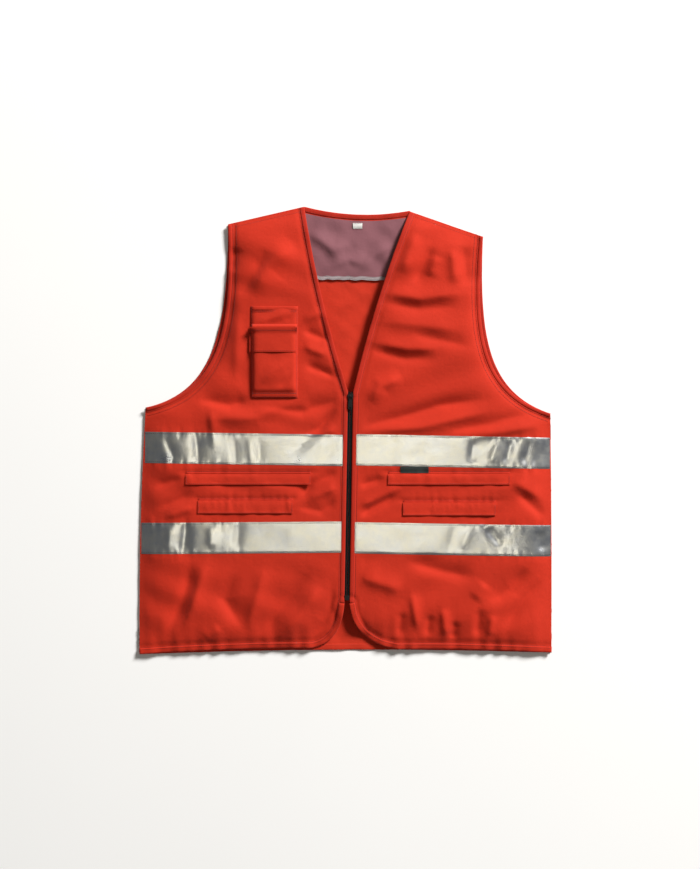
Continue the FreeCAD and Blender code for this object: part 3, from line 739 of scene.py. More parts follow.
class Nodes:
    """A node material under construction, round its Principled shader."""

    def __init__(self, name):
        self.material = bpy.data.materials.new(name)
        self.material.use_nodes = True
        self.tree = self.material.node_tree
        self.shader = self.tree.nodes["Principled BSDF"]
        self.place = self.make("TexCoord").outputs["Object"]

    def make(self, kind, **settings):
        node = self.tree.nodes.new("ShaderNode" + kind)
        for name, value in settings.items():
            setattr(node, name, value)
        return node

    def join(self, source, target):
        if isinstance(source, bpy.types.NodeSocket):
            self.tree.links.new(source, target)
        else:
            target.default_value = source

    def set(self, **sockets):
        for name, value in sockets.items():
            self.join(value, self.shader.inputs[name.replace("_", " ")])

    def noise(self, scale, detail=3.0, roughness=0.55):
        node = self.make("TexNoise")
        self.join(self.place, node.inputs["Vector"])
        node.inputs["Scale"].default_value = scale
        node.inputs["Detail"].default_value = detail
        node.inputs["Roughness"].default_value = roughness
        return node.outputs["Fac"]

    def bands(self, pitch, direction, bend=0.0):
        """Threads a pitch apart, in metres."""
        node = self.make("TexWave", wave_type="BANDS", bands_direction=direction)
        self.join(self.place, node.inputs["Vector"])
        node.inputs["Scale"].default_value = math.tau / (20 * pitch)
        node.inputs["Distortion"].default_value = bend
        return node.outputs["Fac"]

    def math(self, operation, a, b=0.0):
        node = self.make("Math", operation=operation)
        self.join(a, node.inputs[0])
        self.join(b, node.inputs[1])
        return node.outputs[0]

    def spread(self, value, low, high, start=0.0, end=1.0):
        node = self.make("MapRange")
        for name, number in (("From Min", start), ("From Max", end), ("To Min", low), ("To Max", high)):
            node.inputs[name].default_value = number
        self.join(value, node.inputs["Value"])
        return node.outputs["Result"]

    def mix(self, share, a, b):
        node = self.make("Mix", data_type="RGBA")
        for name, value in (("Factor", share), ("A", a), ("B", b)):
            socket = [s for s in node.inputs if s.name == name and s.enabled][0]
            self.join(value, socket)
        return next(s for s in node.outputs if s.enabled)

    def bump(self, height, depth, strength=1.0, onto=None):
        """Depth is in metres."""
        node = self.make("Bump")
        node.inputs["Distance"].default_value = depth
        node.inputs["Strength"].default_value = strength
        self.join(height, node.inputs["Height"])
        if onto:
            self.join(onto, node.inputs["Normal"])
        return node.outputs["Normal"]


def shade(colour, factor):
    return (*(min(1.0, c * factor) for c in colour), 1.0)


def cloth_material(name, colour, pitch=0.0006, roughness=0.8, sheen=0.06, dark=0.72, mottle=1.12):
    """Plain woven cloth: two sets of threads, small slubs, and slow changes of shade."""
    nodes = Nodes(name)
    warp, weft = nodes.bands(pitch, "X", 0.6), nodes.bands(pitch, "Y", 0.6)
    weave = nodes.math("MULTIPLY", warp, weft)
    slubs = nodes.noise(1400, 2.0)
    slow = nodes.spread(nodes.noise(9, 4.0), 0.0, 1.0, 0.35, 0.68)
    base = nodes.mix(slow, shade(colour, 0.93), shade(colour, mottle))
    threads = nodes.mix(nodes.spread(weave, 0.0, 1.0, 0.0, 0.5), shade(colour, dark), base)
    flecked = nodes.mix(nodes.spread(slubs, 0.0, 0.35, 0.5, 0.8), threads, shade(colour, 1.25))
    height = nodes.math("ADD", weave, nodes.math("MULTIPLY", slubs, 0.5))
    crumple = nodes.bump(nodes.noise(120, 3.0, 0.6), 0.0009, 0.5)
    nodes.set(
        Base_Color=flecked,
        Roughness=nodes.spread(slubs, roughness - 0.08, roughness + 0.08, 0.3, 0.7),
        Normal=nodes.bump(height, 0.00012, 0.7, crumple),
        Sheen_Weight=sheen,
        Sheen_Roughness=0.5,
        Specular_IOR_Level=0.2,
    )
    return nodes.material


def tape_material(name):
    """Reflective tape: silver glass beads on cloth, faintly ribbed, with soft scuffs."""
    nodes = Nodes(name)
    beads = nodes.make("TexVoronoi")
    nodes.join(nodes.place, beads.inputs["Vector"])
    beads.inputs["Scale"].default_value = 3500
    ribs = nodes.math("MULTIPLY", nodes.bands(0.0011, "X", 1.0), nodes.bands(0.0011, "Y", 1.0))
    scuffs = nodes.noise(38, 6.0, 0.65)
    tint = nodes.mix(nodes.spread(scuffs, 0.0, 1.0, 0.3, 0.7), (0.62, 0.65, 0.72, 1), (0.84, 0.82, 0.74, 1))
    grain = nodes.mix(nodes.spread(beads.outputs["Distance"], 0.0, 0.35), tint, (0.40, 0.42, 0.44, 1))
    height = nodes.math("ADD", beads.outputs["Distance"], nodes.math("MULTIPLY", ribs, 0.8))
    ripple = nodes.bump(nodes.noise(60, 2.0), 0.0006, 0.3)
    nodes.set(
        Base_Color=grain,
        Metallic=1.0,
        Roughness=nodes.spread(scuffs, 0.27, 0.36, 0.3, 0.7),
        Normal=nodes.bump(height, 0.00005, 0.5, ripple),
    )
    return nodes.material


def thread_material(name, colour):
    """Twisted sewing thread."""
    nodes = Nodes(name)
    twist = nodes.make("TexWave", wave_type="BANDS", bands_direction="DIAGONAL")
    nodes.join(nodes.place, twist.inputs["Vector"])
    twist.inputs["Scale"].default_value = math.tau / (20 * 0.0005)
    strand = nodes.mix(twist.outputs["Fac"], shade(colour, 0.7), shade(colour, 1.15))
    nodes.set(Base_Color=strand, Roughness=0.55, Normal=nodes.bump(twist.outputs["Fac"], 0.00008))
    return nodes.material


def moulded_material(name, colour, roughness, metallic=0.0):
    """Moulded nylon or enamelled metal, with a fine grain and rubbed patches."""
    nodes = Nodes(name)
    grain, rub = nodes.noise(2600, 3.0), nodes.noise(260, 5.0)
    worn = nodes.mix(nodes.spread(rub, 0.0, 0.5, 0.55, 0.8), shade(colour, 1.0), shade(colour, 1.9))
    nodes.set(
        Base_Color=worn,
        Metallic=metallic,
        Roughness=nodes.spread(rub, roughness - 0.1, roughness + 0.15, 0.3, 0.7),
        Specular_IOR_Level=0.25,
        Normal=nodes.bump(grain, 0.00004, 0.5),
    )
    return nodes.material


def pile_material(name, colour):
    """The loops or hooks of a touch fastener."""
    nodes = Nodes(name)
    loops = nodes.make("TexVoronoi")
    nodes.join(nodes.place, loops.inputs["Vector"])
    loops.inputs["Scale"].default_value = 1300
    tone = nodes.mix(loops.outputs["Distance"], shade(colour, 1.3), shade(colour, 0.5))
    nodes.set(Base_Color=tone, Roughness=0.9, Sheen_Weight=0.3,
              Normal=nodes.bump(loops.outputs["Distance"], 0.0004))
    return nodes.material


def floor_material():
    nodes = Nodes("studio_floor")
    tone = nodes.mix(nodes.noise(3, 2.0), (0.93, 0.93, 0.93, 1), (0.95, 0.95, 0.95, 1))
    nodes.set(Base_Color=tone, Roughness=0.9, Specular_IOR_Level=0.1)
    return nodes.material


ORANGE = (0.58, 0.026, 0.007)
M = {
    "shell": cloth_material("orange_cloth", ORANGE),
    "inside": cloth_material("orange_cloth_inside", (0.60, 0.030, 0.009), dark=0.8),
    "binding": cloth_material("orange_binding", (0.50, 0.020, 0.006), pitch=0.0005),
    "lining": cloth_material("mauve_lining", (0.27, 0.105, 0.125), pitch=0.0008, mottle=1.2),
    "pocket": cloth_material("pocket_cloth", (0.50, 0.024, 0.008), pitch=0.0007),
    "label": cloth_material("label_cloth", (0.80, 0.79, 0.76), pitch=0.0004, dark=0.85),
    "webbing": cloth_material("black_webbing", (0.030, 0.038, 0.036), pitch=0.0012, sheen=0.05),
    "zip_tape": cloth_material("zip_tape_cloth", (0.007, 0.005, 0.005), pitch=0.0009, sheen=0.05),
    "tape": tape_material("silver_tape"),
    "nylon": moulded_material("black_nylon", (0.006, 0.005, 0.005), 0.55),
    "metal": moulded_material("black_enamel", (0.006, 0.005, 0.005), 0.5),
    "hooks": pile_material("touch_fastener", (0.45, 0.022, 0.008)),
    "thread": thread_material("orange_thread", (0.28, 0.012, 0.006)),
    "grey_thread": thread_material("grey_thread", (0.085, 0.055, 0.045)),
    "white_thread": thread_material("white_thread", (0.50, 0.43, 0.44)),
}


# --- the back -----------------------------------------------------------------------------------


def loop_area(loop):
    x, y = loop.T
    return abs((x * np.roll(y, -1) - y * np.roll(x, -1)).sum()) / 2


def declare_cut(loop):
    """Work out what share of its bounding box a sheet's outline fills; the result is not kept."""
    width, height = loop.max(0) - loop.min(0)
    min(1.0, loop_area(loop) / (width * height))


def finish(nodes):
    if nodes:
        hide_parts(*nodes)


def finish_on(piece, body, slot, *nodes):
    """Say which body a piece rides on, and the CAD nodes that it stands for; its slot is not used."""
    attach(piece, body)
    finish(nodes)


def finish_root(piece, slot, *nodes):
    finish_on(piece, "root", slot, *nodes)


def finish_front(piece, side, slot, *nodes):
    """For a piece of a front: bake its transform into its mesh and hide the CAD nodes that it stands for.
    """
    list(crease_ends(side))
    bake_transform(piece)
    finish(nodes)


def finish_flap(piece, node):
    """For a flap: bake its transform into its mesh and hide the CAD node that it stands for."""
    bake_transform(piece)
    finish([node])


def make_back():
    back = cloth_sheet("back_sheet", BACK["loop"], [], BACK_Z, M["inside"])
    finish_root(back, "shell_cloth", "back_panel")
    declare_cut(BACK["loop"])
    for side in SIDES:
        edge = rolled_edge(f"back_{side}_armhole_edge", BACK[f"{side}_armhole"],
                           1, M["binding"], BACK_Z, width=9.0, thick=1.5)
        finish_root(edge, "binding_cloth", f"back_{side}_armhole_binding")
    neck = rolled_edge("back_neck_edge", BACK["neck"], 1, M["binding"], BACK_Z, width=8.5, thick=1.9,
                       over=1.2, lift=0.0)
    finish_root(neck, "binding_cloth", "back_neck_binding")
    hem = rolled_edge("back_hem_edge", BACK["hem"], 1, M["inside"], BACK_Z, width=10.0, thick=1.5)
    finish_root(hem, "shell_cloth")
    thread = Thread("back_stitches", M["thread"])
    for side in SIDES:
        for inset in (2.0, 6.0):
            thread.sew(BACK[f"{side}_armhole"], BACK_Z, 0.5, inset)
    for inset in (2.0, 5.6):
        thread.sew(BACK["neck"], BACK_Z, 0.85, inset)
    thread.sew(BACK["hem"], BACK_Z, 0.4, 7.0)
    finish_root(thread.done(), "binding_cloth")


def make_yoke():
    """The lining inside the upper back, with its overlocked lower edge, and the blank label."""
    loop = with_points(plate_loops("back_yoke_lining")[0])

    def height(points):
        crumple = 1.7 * folded(points, BACK_FOLDS[2:]) + 0.5 * waves(points, 40, 21)
        shown = 1 - smooth(np.abs(points[:, 0]), 80, 125)
        return BACK_Z(points) + 0.6 + (1.7 + np.maximum(crumple, -0.8)) * shown

    lining = cloth_sheet("yoke_lining_sheet", loop, [], height, M["lining"], 0.4)
    finish_root(lining, "lining_cloth", "back_yoke_lining")
    declare_cut(loop)
    lower = spaced(loop[[farthest(loop, -1, -6), farthest(loop, 1, -6)]], 0.8)
    lower[:, 1] += 0.6 * waves(lower, 22, 23)
    overlock = Thread("yoke_overlock", M["white_thread"])
    for number, (a, b) in enumerate(zip(lower[:-1], lower[1:])):
        foot, head = a + [0.0, -1.4], b + [0.0, 3.6]
        overlock.bar(foot, head, height, 0.75)
        if number % 2:
            overlock.bar(head, a + [-0.9, 3.6], height, 0.9)
            overlock.bar(foot, b + [0.6, -1.4], height, 0.9)
    finish_root(overlock.done(), "lining_cloth")
    low, high = box("neck_label")

    def label_height(points, u, v):
        return height(points) + 0.7 + 1.1 * np.sin(math.pi * v) * (0.6 + 0.4 * u)

    label = grid_sheet("neck_label_flap", corners_of(low, high), (16, 10), label_height, M["label"], 0.25)
    finish_root(label, "label_cloth", "neck_label")
    thread = Thread("label_stitches", M["white_thread"])
    thread.sew([(low[0] + 1, high[1] - 1), (high[0] - 1, high[1] - 1)], height, 1.4, pitch=2.2)
    finish_root(thread.done(), "label_cloth")


def make_back_tapes():
    for tape in ("upper", "lower"):
        corners = plate_loops(f"back_{tape}_tape")[0]
        quad = [corners[farthest(corners, x, y)] for x, y in ((-1, -1), (1, -1), (1, 1), (-1, 1))]

        def height(points, u, v):
            return BACK_Z(points) - CLOTH - 0.05

        strip = grid_sheet(f"back_{tape}_reflective_tape", quad, (220, 16), height, M["tape"], 0.4)
        finish_root(strip, "reflective_tape", f"back_{tape}_tape")


# --- the fronts -----------------------------------------------------------------------------------

def make_front(side):
    shape, height = FRONT[side], FRONT_Z[side]
    inward = 1 if side == "right" else -1
    start, end = (np.array(point[:2]) / MM for point in crease_ends(side))
    crease = (start + end) / 2, unit(end - start)
    front = cloth_sheet(f"{side}_front_sheet", shape["loop"], shape["slits"], height, M["shell"],
                        crease=crease)
    finish_front(front, side, "shell_cloth", f"{side}_front_panel", f"{side}_front_edge",
                 f"{side}_shoulder_seam", f"{side}_side_seam")
    declare_cut(shape["loop"])
    bound = np.concatenate([shape["zip"], shape["neckline"][1:]])
    edge = rolled_edge(f"{side}_front_bound_edge", bound, inward, M["binding"], height, width=7.6,
                       thick=2.3, over=0.2)
    finish_front(edge, side, "binding_cloth", f"{side}_neckline_binding", f"{side}_front_edge_binding")
    hem = rolled_edge(f"{side}_front_hem_edge", shape["hem"], inward, M["shell"], height, width=9.5,
                      thick=2.4, over=0.4)
    finish_front(hem, side, "shell_cloth")
    arm = rolled_edge(f"{side}_front_armhole_edge", shape["armhole"], inward, M["binding"], height,
                      width=6.0, thick=3.0, lift=-0.5)
    finish_root(arm, "binding_cloth", f"{side}_armhole_binding")
    thread = Thread(f"{side}_front_stitches", M["thread"])
    for path, lift, inset in (
        (bound, 0.8, 5.6), (bound, 0.35, 9.0), (shape["hem"], 0.9, 6.6), (shape["hem"], 0.3, 9.6),
    ):
        thread.sew(path, height, lift, inward * inset)
    finish_front(thread.done(), side, "binding_cloth")
    fixed = Thread(f"{side}_seam_stitches", M["thread"])
    for edge, lift, inset in (("armhole", 0.4, 7.0), ("armhole", 0.4, 12.5), ("shoulder", 0.15, 6.0)):
        fixed.sew(shape[edge], height, lift, inward * inset)
    finish_root(fixed.done(), "binding_cloth")


def make_loose_ends():
    """Ragged ends of thread that stick out of a side seam, close above the hem."""
    seam = FRONT["right"]["side"]
    bottom, top = -345, -316
    draw = random.Random(31)
    ends = Thread("side_seam_thread_ends", M["grey_thread"])
    for root in seam[(seam[:, 1] > bottom) & (seam[:, 1] < top)]:
        for _ in range(2):
            tip = root + [draw.uniform(-2.6, -0.4), draw.uniform(-3.0, 3.0)]
            ends.bar(root + [1.2, 0.0], tip, lambda point: np.full(len(point), SEAM_TOP), 0.3)
    finish_root(ends.done(), "shell_cloth")


def make_front_tapes(side):
    height = FRONT_Z[side]
    thread = Thread(f"{side}_tape_stitches", M["grey_thread"])
    for tape in ("upper", "lower"):
        ob, zb, zt, ot = tape_corners(side, tape)

        def tape_height(points, u, v):
            edges = 0.5 * np.exp(-np.minimum(v, 1 - v) * TAPE_WIDTH / 1.2)
            ends = 0.6 * np.exp(-np.minimum(u, 1 - u) * TAPE_LENGTH / 1.8)
            return height(points) + 0.75 - np.maximum(edges, ends)

        strip = grid_sheet(f"{side}_{tape}_reflective_tape", (ob, zb, zt, ot), (150, 24),
                           tape_height, M["tape"], 0.45)
        finish_front(strip, side, "reflective_tape", f"{side}_{tape}_tape", f"{side}_{tape}_tape_end")
        up = unit(ot - ob)
        for start, end, inset in ((ob, zb, 2.6), (ot, zt, -2.6)):
            thread.sew(np.array([start + up * inset, end + up * inset]), height, 0.85)
    finish_front(thread.done(), side, "reflective_tape")


def make_lower_pockets(side):
    height = FRONT_Z[side]
    for row, drop in (("upper", 5.2), ("lower", 3.2)):
        name = f"{side}_{row}_pocket"
        low, high = box(f"{name}_flap")
        hinge = joint(f"{side}_{row}_flap_hinge")["pos_m"][2] / MM
        tall = high[1] - low[1]

        def flap_height(points, u, v):
            curl = 0.35 * waves(points * [1.0, 0.3], 24, 70) * (1 - v)
            lip = 0.9 * np.sin(math.pi * v) + 1.5 * np.exp(-v / 0.16)
            return np.maximum(height(points) + 0.75, hinge - 0.1) + curl + lip

        flap = grid_sheet(f"{name}_flap_sheet", corners_of(low, high), (90, 14), flap_height,
                          M["shell"], 0.8)
        finish_flap(flap, f"{name}_flap")
        thread = Thread(f"{name}_flap_stitches", M["thread"])
        level = Relief(np.array(corners_of(low, high)),
                       lambda p: flap_height(p, 0, (p[:, 1] - low[1]) / tall))
        bottom = low[1] + FLAP_INSET
        thread.across(low, high, FLAP_INSET, bottom, level, 0.2)
        thread.down_sides(low, high, FLAP_INSET, bottom, high[1] - 3.2, level, 0.2)
        finish_on(thread.done(), f"{name}_flap", "shell_cloth")
        seam = Thread(f"{name}_seam_stitches", M["thread"])
        seam.across(low, high, 1, high[1] + 4.2, height, 0.25)
        # A raised ridge along the top of each flap, in the darker binding cloth: the ridge is real, and its
        # darker colour is painted shade for the shadow in the seam's valley.
        shade_ridge_line = top_line(low, high) + [0.0, 3.0]
        seam_ridge_painted_shade = rolled_edge(f"{name}_welt", shade_ridge_line, -1, M["binding"], height, width=2.8, thick=1.8,
                           over=0.2, lift=-0.3)
        finish_root(seam_ridge_painted_shade, "binding_cloth")
        finish_root(seam.done(), "shell_cloth")
        make_hung_bag(side, row, height, drop)


def make_hung_bag(side, row, front, drop):
    """The soft bag behind a lower pocket's slit, sewn to the front all round."""
    low, high = box(f"{side}_{row}_pocket_bag")
    width, tall = (high - low)[:2]

    def height(points, u, v):
        rim = np.minimum(np.minimum(u, 1 - u) * width, np.minimum(v, 1 - v) * tall)
        sag = drop * (1 - np.exp(-rim / 7)) * (1 + 0.12 * waves(points, 60, 81))
        return np.maximum(front(points) - CLOTH - 0.3 - sag, BACK_TOP + 2.2 - 0.6 * drop / 5.2 + 0.6)

    bag = grid_sheet(f"{side}_{row}_pocket_bag_cloth", corners_of(low, high), (56, 56), height,
                     M["pocket"], 0.4)
    finish_root(bag, "pocket_cloth", f"{side}_{row}_pocket_bag")


# --- the chest pocket -------------------------------------------------------------------------------

def patch_height(base, low, high, rise, reach, top_rise):
    """The height of a full patch pocket: sewn down at the sides and bottom, open at the top."""
    def height(points):
        sides = np.minimum(points[:, 0] - low[0], high[0] - points[:, 0])
        bottom = points[:, 1] - low[1]
        top = high[1] - points[:, 1]
        full = (1 - np.exp(-np.maximum(sides, 0) / reach)) * (1 - np.exp(-np.maximum(bottom, 0) / reach))
        ease = top_rise + (1 - top_rise) * smooth(top, 0, 26)
        return base(points) + 0.5 + rise * full * ease
    return height


def make_chest_pocket():
    front = FRONT_Z["right"]
    low, high = box("chest_slip_pocket")
    bag_low, bag_high = box("chest_pocket_bag")
    flap_low = box("chest_pocket_flap")[0]
    slip_rise = bag_low[2] - FRONT_TOP - 1.1
    bag_rise = bag_high[2] - bag_low[2] - 1.2
    face = patch_height(front, low, high, slip_rise, 3.2, 0.75)

    def slip(points, u, v):
        crumple = 0.35 * waves(points, 34, 90) + folded(points, SLIP_FOLDS)
        return face(points) + np.maximum(crumple, -1.4)

    slip_pocket = grid_sheet("chest_slip_pocket_cloth", corners_of(low, high), (40, 76), slip,
                             M["shell"], 0.7)
    finish_root(slip_pocket, "shell_cloth", "chest_slip_pocket")
    ledge = np.array([0.6, 8.5, 0.0])
    bag_face = patch_height(face, bag_low + ledge, bag_high, bag_rise, 3.0, 0.9)

    def bag(points, u, v):
        droop = 0.7 * waves(points * [0.6, 1.0], 40, 91) + folded(points, BAG_FOLDS)
        droop *= np.sin(math.pi * u) * smooth(v, 0.08, 0.25) * (1 - smooth(v, 0.55, 0.8))
        return bag_face(points) + droop

    bag_cloth = grid_sheet("chest_pocket_bag_cloth", corners_of(bag_low, bag_high), (40, 60), bag,
                           M["shell"], 0.7)
    finish_root(bag_cloth, "shell_cloth", "chest_pocket_bag")
    make_chest_flap(face, bag_face)
    thread = Thread("chest_pocket_stitches", M["thread"])
    thread.down_sides(low, high, 1.4, low[1] + 1, high[1] - 1, face, 0.25)
    thread.across(low, high, 1.4, low[1] + 1.4, face, 0.25)
    for drop in (6.5, 8.5):
        thread.across(low, high, 2, high[1] - drop, face, 0.45)
    thread.down_sides(bag_low, bag_high, 1.2, bag_low[1] + 1, flap_low[1] - 1, bag_face, 0.25)
    for rise in (1.2, 6.2, 7.2):
        thread.across(bag_low, bag_high, 1.2, bag_low[1] + rise, bag_face, 0.25)
    finish_root(thread.done(), "shell_cloth")
    hem = rolled_edge("chest_slip_pocket_hem", top_line(low, high), -1, M["shell"],
                      lambda p: face(p) + 0.15, width=6.0, thick=1.5, over=0.3)
    finish_root(hem, "shell_cloth")


def make_chest_flap(face, bag_face):
    """The flap, its raised seam on the pocket's face, and the touch fastener under it."""
    low, high = box("chest_pocket_flap")
    axis = joint("chest_flap_hinge")["pos_m"][2] / MM
    width, tall = (high - low)[:2]

    def height(points, u, v):
        lift = 0.4 * np.sin(math.pi * u) * (1 - v) + 0.25 * waves(points, 30, 92) * (1 - v)
        edge = np.minimum(u, 1 - u) * width
        lying = bag_face(points) + 1.4 + 1.2 * np.exp(-edge / 2.5) + lift
        hinge = smooth(v, 0.72, 1.0)
        return lying * (1 - hinge) + (axis + 0.35) * hinge

    flap = grid_sheet("chest_flap_cloth", corners_of(low, high), (40, 26), height, M["shell"], 0.75)
    finish_flap(flap, "chest_pocket_flap")
    seam_low, seam_high = box("chest_flap_facing")
    middle = high[1] + 0.6

    def facing_height(points, u, v):
        rise = smooth(-np.abs(points[:, 1] - middle), -6.0, -1.0)
        ends = smooth(np.minimum(u, 1 - u), -0.02, 0.03)
        return face(points) + 0.5 + (axis - 1.0 - face(points)) * rise * ends

    corners = corners_of((seam_low[0], middle - 5), (seam_high[0], middle + 5))
    facing = grid_sheet("chest_flap_seam", corners, (40, 18), facing_height, M["shell"], 0.6)
    finish_root(facing, "shell_cloth", "chest_flap_facing")
    thread = Thread("chest_flap_stitches", M["thread"])

    def over_flap(points):
        u, v = (points[:, 0] - low[0]) / width, (points[:, 1] - low[1]) / tall
        return height(points, u, np.clip(v, 0, 1))

    level = Relief(np.array(corners_of(low, high)), over_flap)
    bottom = low[1] + FLAP_INSET
    thread.down_sides(low, high, FLAP_INSET, bottom, high[1] - 4, level, 0.2)
    for y in (bottom, high[1] - 5):
        thread.across(low, high, FLAP_INSET, y, level, 0.2)
    finish_on(thread.done(), "chest_pocket_flap", "shell_cloth")
    for name, node, body, above in (
        ("chest_loop_tape", "chest_loop_pad", "root", lambda p: bag_face(p) + 0.45),
        ("chest_hook_tape", "chest_hook_pad", "chest_pocket_flap", lambda p: level(p) - 0.8),
    ):
        a, b = box(node)
        pile = grid_sheet(name, corners_of(a, b), (30, 10), lambda p, u, v: above(p), M["hooks"], 0.4)
        finish_on(pile, body, "hook_and_loop", node)


def make_webbing_tab():
    low, high = box("webbing_tab")
    front = FRONT_Z["left"]

    def height(points, u, v):
        return front(points) + 0.75 + 0.5 * np.sin(math.pi * u) ** 2 * (1 - v)

    tab = grid_sheet("webbing_tab_cloth", corners_of(low, high), (30, 8), height, M["webbing"], 0.7)
    finish_root(tab, "black_webbing", "webbing_tab")


# --- the zip ----------------------------------------------------------------------------------------

def zip_frame(points):
    """Points on the zip's own axes, across it, along it and up, in the vest's frame."""
    return [(*on_zip(x, y), z) for x, y, z in points]


def prism(outline, low, high, round_by=0.25):
    """The vertices and faces of a plate with softened edges, from an outline on any axes."""
    outline = np.array(outline, float)
    middle = outline.mean(0)
    vertices = []
    for level, shrink in ((low, round_by), (low + round_by, 0), (high - round_by, 0), (high, round_by)):
        for point in outline:
            vertices.append((*(point + unit(middle - point) * shrink), level))
    return vertices, walls(4, len(outline))


def gather(parts):
    """Several lots of vertices and faces as one."""
    vertices, faces = [], []
    for more, cells in parts:
        faces += [tuple(i + len(vertices) for i in face) for face in cells]
        vertices += more
    return vertices, faces


def zip_part(name, parts, material, body, slot, *nodes):
    vertices, faces = gather(parts)
    thing = add(name, zip_frame(vertices), [face[::-1] for face in faces], material)
    thing.data.polygons.foreach_set("use_smooth", [False] * len(thing.data.polygons))
    finish_on(thing, body, slot, *nodes)


def bent_bar(path, radius, sides=6):
    """A thin round bar along a few points."""
    path = [Vector(p) for p in path]
    vertices, up = [], Vector((0, 0, 1))
    for i, here in enumerate(path):
        along = (path[min(i + 1, len(path) - 1)] - path[max(i - 1, 0)]).normalized()
        first = (along.orthogonal() if abs(along.z) > 0.9 else along.cross(up)).normalized()
        second = along.cross(first)
        for k in range(sides):
            turn = math.tau * k / sides
            vertices.append(tuple(here + (first * math.cos(turn) + second * math.sin(turn)) * radius))
    return vertices, walls(len(path), sides)


def oval(width, length, along, count=20, taper=0.0):
    """A rounded outline round the zip's line, wider at its upper end by the taper."""
    outline = []
    for step in range(count):
        x, y = squarish(math.tau * step / count, 0.6)
        x, y = x * width / 2, y * length / 2
        outline.append((x * (1 - taper * y / length), along + y))
    return outline


def make_zip():
    coil_low, coil_high = box("right_zip_coil")[0][2], box("right_zip_coil")[1][2]
    middle = (coil_low + coil_high) / 2
    for side, out in SIDES.items():
        body = f"{side}_front_edge"
        make_zip_tape(side, out)
        teeth = []
        rise = (coil_high - coil_low) / 2 - 0.28
        for number in range(int((ZIP_LENGTH - 12) / TOOTH_PITCH)):
            y = 3.0 + TOOTH_PITCH * number
            teeth.append(bent_bar([
                (out * 2.55, y, middle - rise), (out * 1.2, y + 0.15, middle - rise),
                (out * 0.62, y + 0.3, middle), (out * 1.2, y + 0.5, middle + rise),
                (out * 2.5, y + 0.75, middle + rise), (out * 2.75, y + 1.1, middle),
            ], 0.26, 5))
        zip_part(f"{side}_zip_teeth", teeth, M["nylon"], body, "black_nylon", f"{side}_zip_coil")
        stop = [
            bent_bar([(out * 0.7, y, middle - 0.5), (out * 0.7, y, coil_high),
                      (out * 2.6, y, coil_high), (out * 2.6, y, middle - 0.5)], 0.3)
            for y in (0.6, 1.3, 2.0)
        ]
        zip_part(f"{side}_zip_stop", stop, M["metal"], body, "black_metal", f"{side}_top_stop")
    make_zip_box(coil_low, coil_high)
    make_slider()
    make_pull()


def make_zip_tape(side, out):
    low, high = box(f"{side}_zip_tape")
    length = (high[1] - low[1]) / -ZIP_DOWN[1]
    corners = [on_zip(out * across, along) for across, along in corners_of((0.5, length), (14.0, 0))]

    def height(points, u, v):
        return high[2] + 0.12 * np.exp(-((u - 0.2) / 0.06) ** 2)

    tape = grid_sheet(f"{side}_zip_tape_cloth", corners, (14, 120), height, M["zip_tape"], 0.5)
    finish_on(tape, f"{side}_front_edge", "zip_tape", f"{side}_zip_tape")


def make_zip_box(coil_low, coil_high):
    low, high = box("zip_retainer_box")
    end, start = ZIP_LENGTH, ZIP_LENGTH - 8.0
    middle = (start + end) / 2
    shell = [
        prism(oval(8.0, 7.6, middle), low[2], coil_low - 0.3),
        prism(oval(7.4, 7.6, middle), coil_high + 0.25, high[2]),
    ]
    for a, b, c, d in ((-3.9, 0.1, 0.1, -3.5), (2.4, 3.9, 3.5, 2.4)):
        cheek = [(a, start + 0.4), (b, start + 0.4), (c, end - 0.3), (d, end - 0.3)]
        shell.append(prism(cheek, low[2] + 0.2, high[2] - 0.2))
    zip_part("zip_box_shell", shell, M["nylon"], "right_front_edge", "black_nylon", "zip_retainer_box")
    pin_low, pin_high = box("zip_insertion_pin")
    outline = [(0.55, start - 1), (1.85, start - 1), (1.85, end - 2.4), (1.2, end - 1.9),
               (0.55, end - 2.4)]
    pin = prism(outline, pin_low[2], pin_high[2], 0.2)
    zip_part("zip_pin_bar", [pin], M["nylon"], "left_front_edge", "black_nylon", "zip_insertion_pin")


def make_slider():
    low, high = SLIDER_LOW, SLIDER_HIGH
    length, loop_height, plate = 10.0, 2.6, 0.9
    top = high[2] - loop_height - plate
    face = oval(9.4, length, SLIDER_ALONG, taper=0.18)
    wedge = oval(0.6, 3.0, SLIDER_ALONG - length / 2 + 1.6)
    parts = [
        prism(face, low[2], low[2] + plate),
        prism(face, top, top + plate, 0.3),
        prism(wedge, low[2] + plate - 0.1, top + 0.1, 0.05),
    ]
    for out in SIDES.values():
        wall = corners_of((out * 3.0, SLIDER_ALONG - 4.4), (out * 3.7, SLIDER_ALONG + 4.4))
        parts.append(prism(wall[::out], low[2] + 1.9, top + 0.1, 0.1))
    arch = []
    for step in range(13):
        turn = math.pi * step / 12
        rise = (loop_height - 0.45) * math.sin(turn) ** 0.6
        arch.append((0, SLIDER_ALONG - 2.8 * math.cos(turn), top + plate + rise))
    parts.append(bent_bar(arch, 0.42, 8))
    zip_part("zip_slider_body", parts, M["metal"], "zip_slider", "black_metal", "zip_slider")


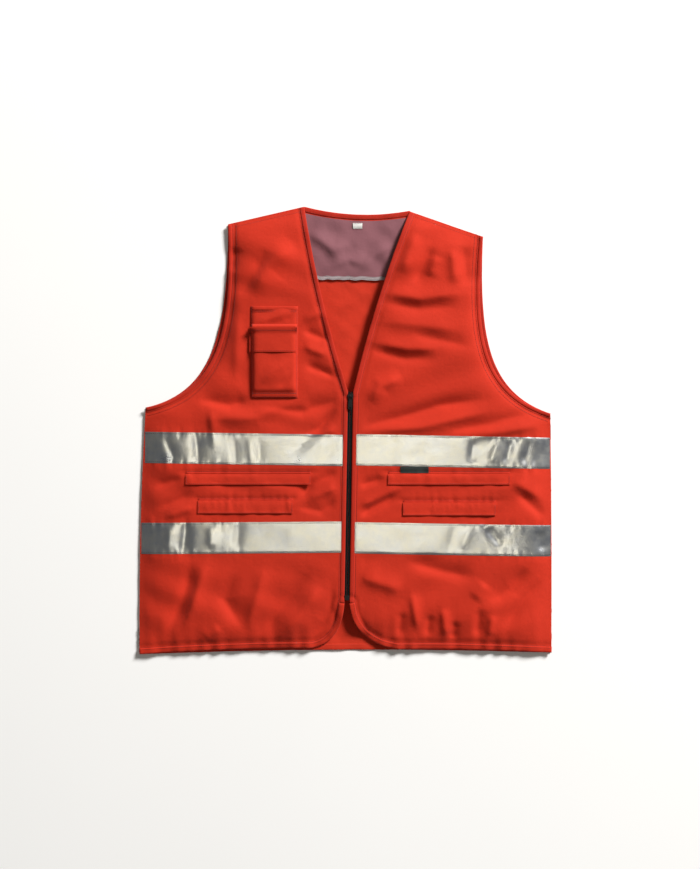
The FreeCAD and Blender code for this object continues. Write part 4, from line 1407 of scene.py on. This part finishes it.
def make_pull():
    low, high = box("zip_pull_tab")
    level = (low[2] + high[2]) / 2
    along = SLIDER_ALONG
    width, arm, length = 6.6, 4.0, 17.0
    half = width / 2 - 0.6
    bend = [(-half, arm + 1), (-half, 0.6), (-half + 0.5, 0), (half - 0.5, 0), (half, 0.6), (half, arm + 1)]
    ring = bent_bar([(x, along + y, level) for x, y in bend], 0.52, 8)
    count, radius = 28, 1.5
    outer = oval(width, length, along + arm + length / 2, count, taper=-0.12)
    turns = [math.tau * i / count for i in range(count)]
    hole = [(radius * math.cos(turn), along + arm + length - 3 + radius * math.sin(turn)) for turn in turns]
    vertices, faces = [], []
    for outline, rise in ((outer, -0.5), (outer, 0.5), (hole, 0.5), (hole, -0.5)):
        vertices += [(*point, level + rise) for point in outline]
    for number in range(4):
        a, b = number * count, ((number + 1) % 4) * count
        for i in range(count):
            j = (i + 1) % count
            faces.append((a + i, a + j, b + j, b + i))
    zip_part("zip_pull_plate", [ring, (vertices, faces)], M["metal"], "zip_pull_tab", "black_metal",
             "zip_pull_tab")


# --- the studio ---------------------------------------------------------------------------------------

def area_light(name, place, aim, width, height, power, colour):
    light = bpy.data.lights.new(name, "AREA")
    light.shape = "RECTANGLE"
    light.size, light.size_y = width, height
    light.energy = power
    light.color = colour
    lamp = bpy.data.objects.new(name, light)
    lamp.location = place
    lamp.rotation_euler = (Vector(aim) - Vector(place)).to_track_quat("-Z", "Y").to_euler()
    bpy.context.scene.collection.objects.link(lamp)


def make_studio():
    half = 3000
    corners = [(x, y, 0) for x, y in corners_of((-half, -half), (half, half))]
    floor = add("studio_floor", corners, [(0, 1, 2, 3)], floor_material(), False)
    floor.location.z = -0.2 * MM
    area_light("key_light", place=(5.1, 5.7, 4.2), aim=(0, 0, 0), width=2.25, height=2.25,
               power=1480, colour=(1, 0.985, 0.96))
    area_light("top_light", place=(0.1, -0.05, 3.2), aim=(0.1, -0.05, 0), width=0.36, height=1.3,
               power=9.5, colour=(1, 0.93, 0.74))
    world = bpy.data.worlds.new("studio")
    bpy.context.scene.world = world
    world.use_nodes = True
    sky = world.node_tree.nodes["Background"]
    sky.inputs["Color"].default_value = (0.96, 0.98, 1.0, 1)
    sky.inputs["Strength"].default_value = 0.11
    bpy.context.scene.view_settings.view_transform = "Standard"


def make_camera():
    """Straight above, as far up as shows the whole vest with wide margins."""
    data = bpy.data.cameras.new("camera")
    data.lens = 75
    camera = bpy.data.objects.new("camera", data)
    view_height, view_x, view_y = 1.39, 0.0072, -0.0064
    distance = view_height / 2 / (data.sensor_width / 2 / data.lens)
    camera.location = (view_x, view_y, FRONT_TOP * MM + distance)
    data.clip_start, data.clip_end = 0.05, 50
    bpy.context.scene.collection.objects.link(camera)
    bpy.context.scene.camera = camera


make_back()
make_yoke()
make_back_tapes()
for side in SIDES:
    make_front(side)
    make_front_tapes(side)
    make_lower_pockets(side)
make_loose_ends()
make_chest_pocket()
make_webbing_tab()
make_zip()
make_studio()
make_camera()
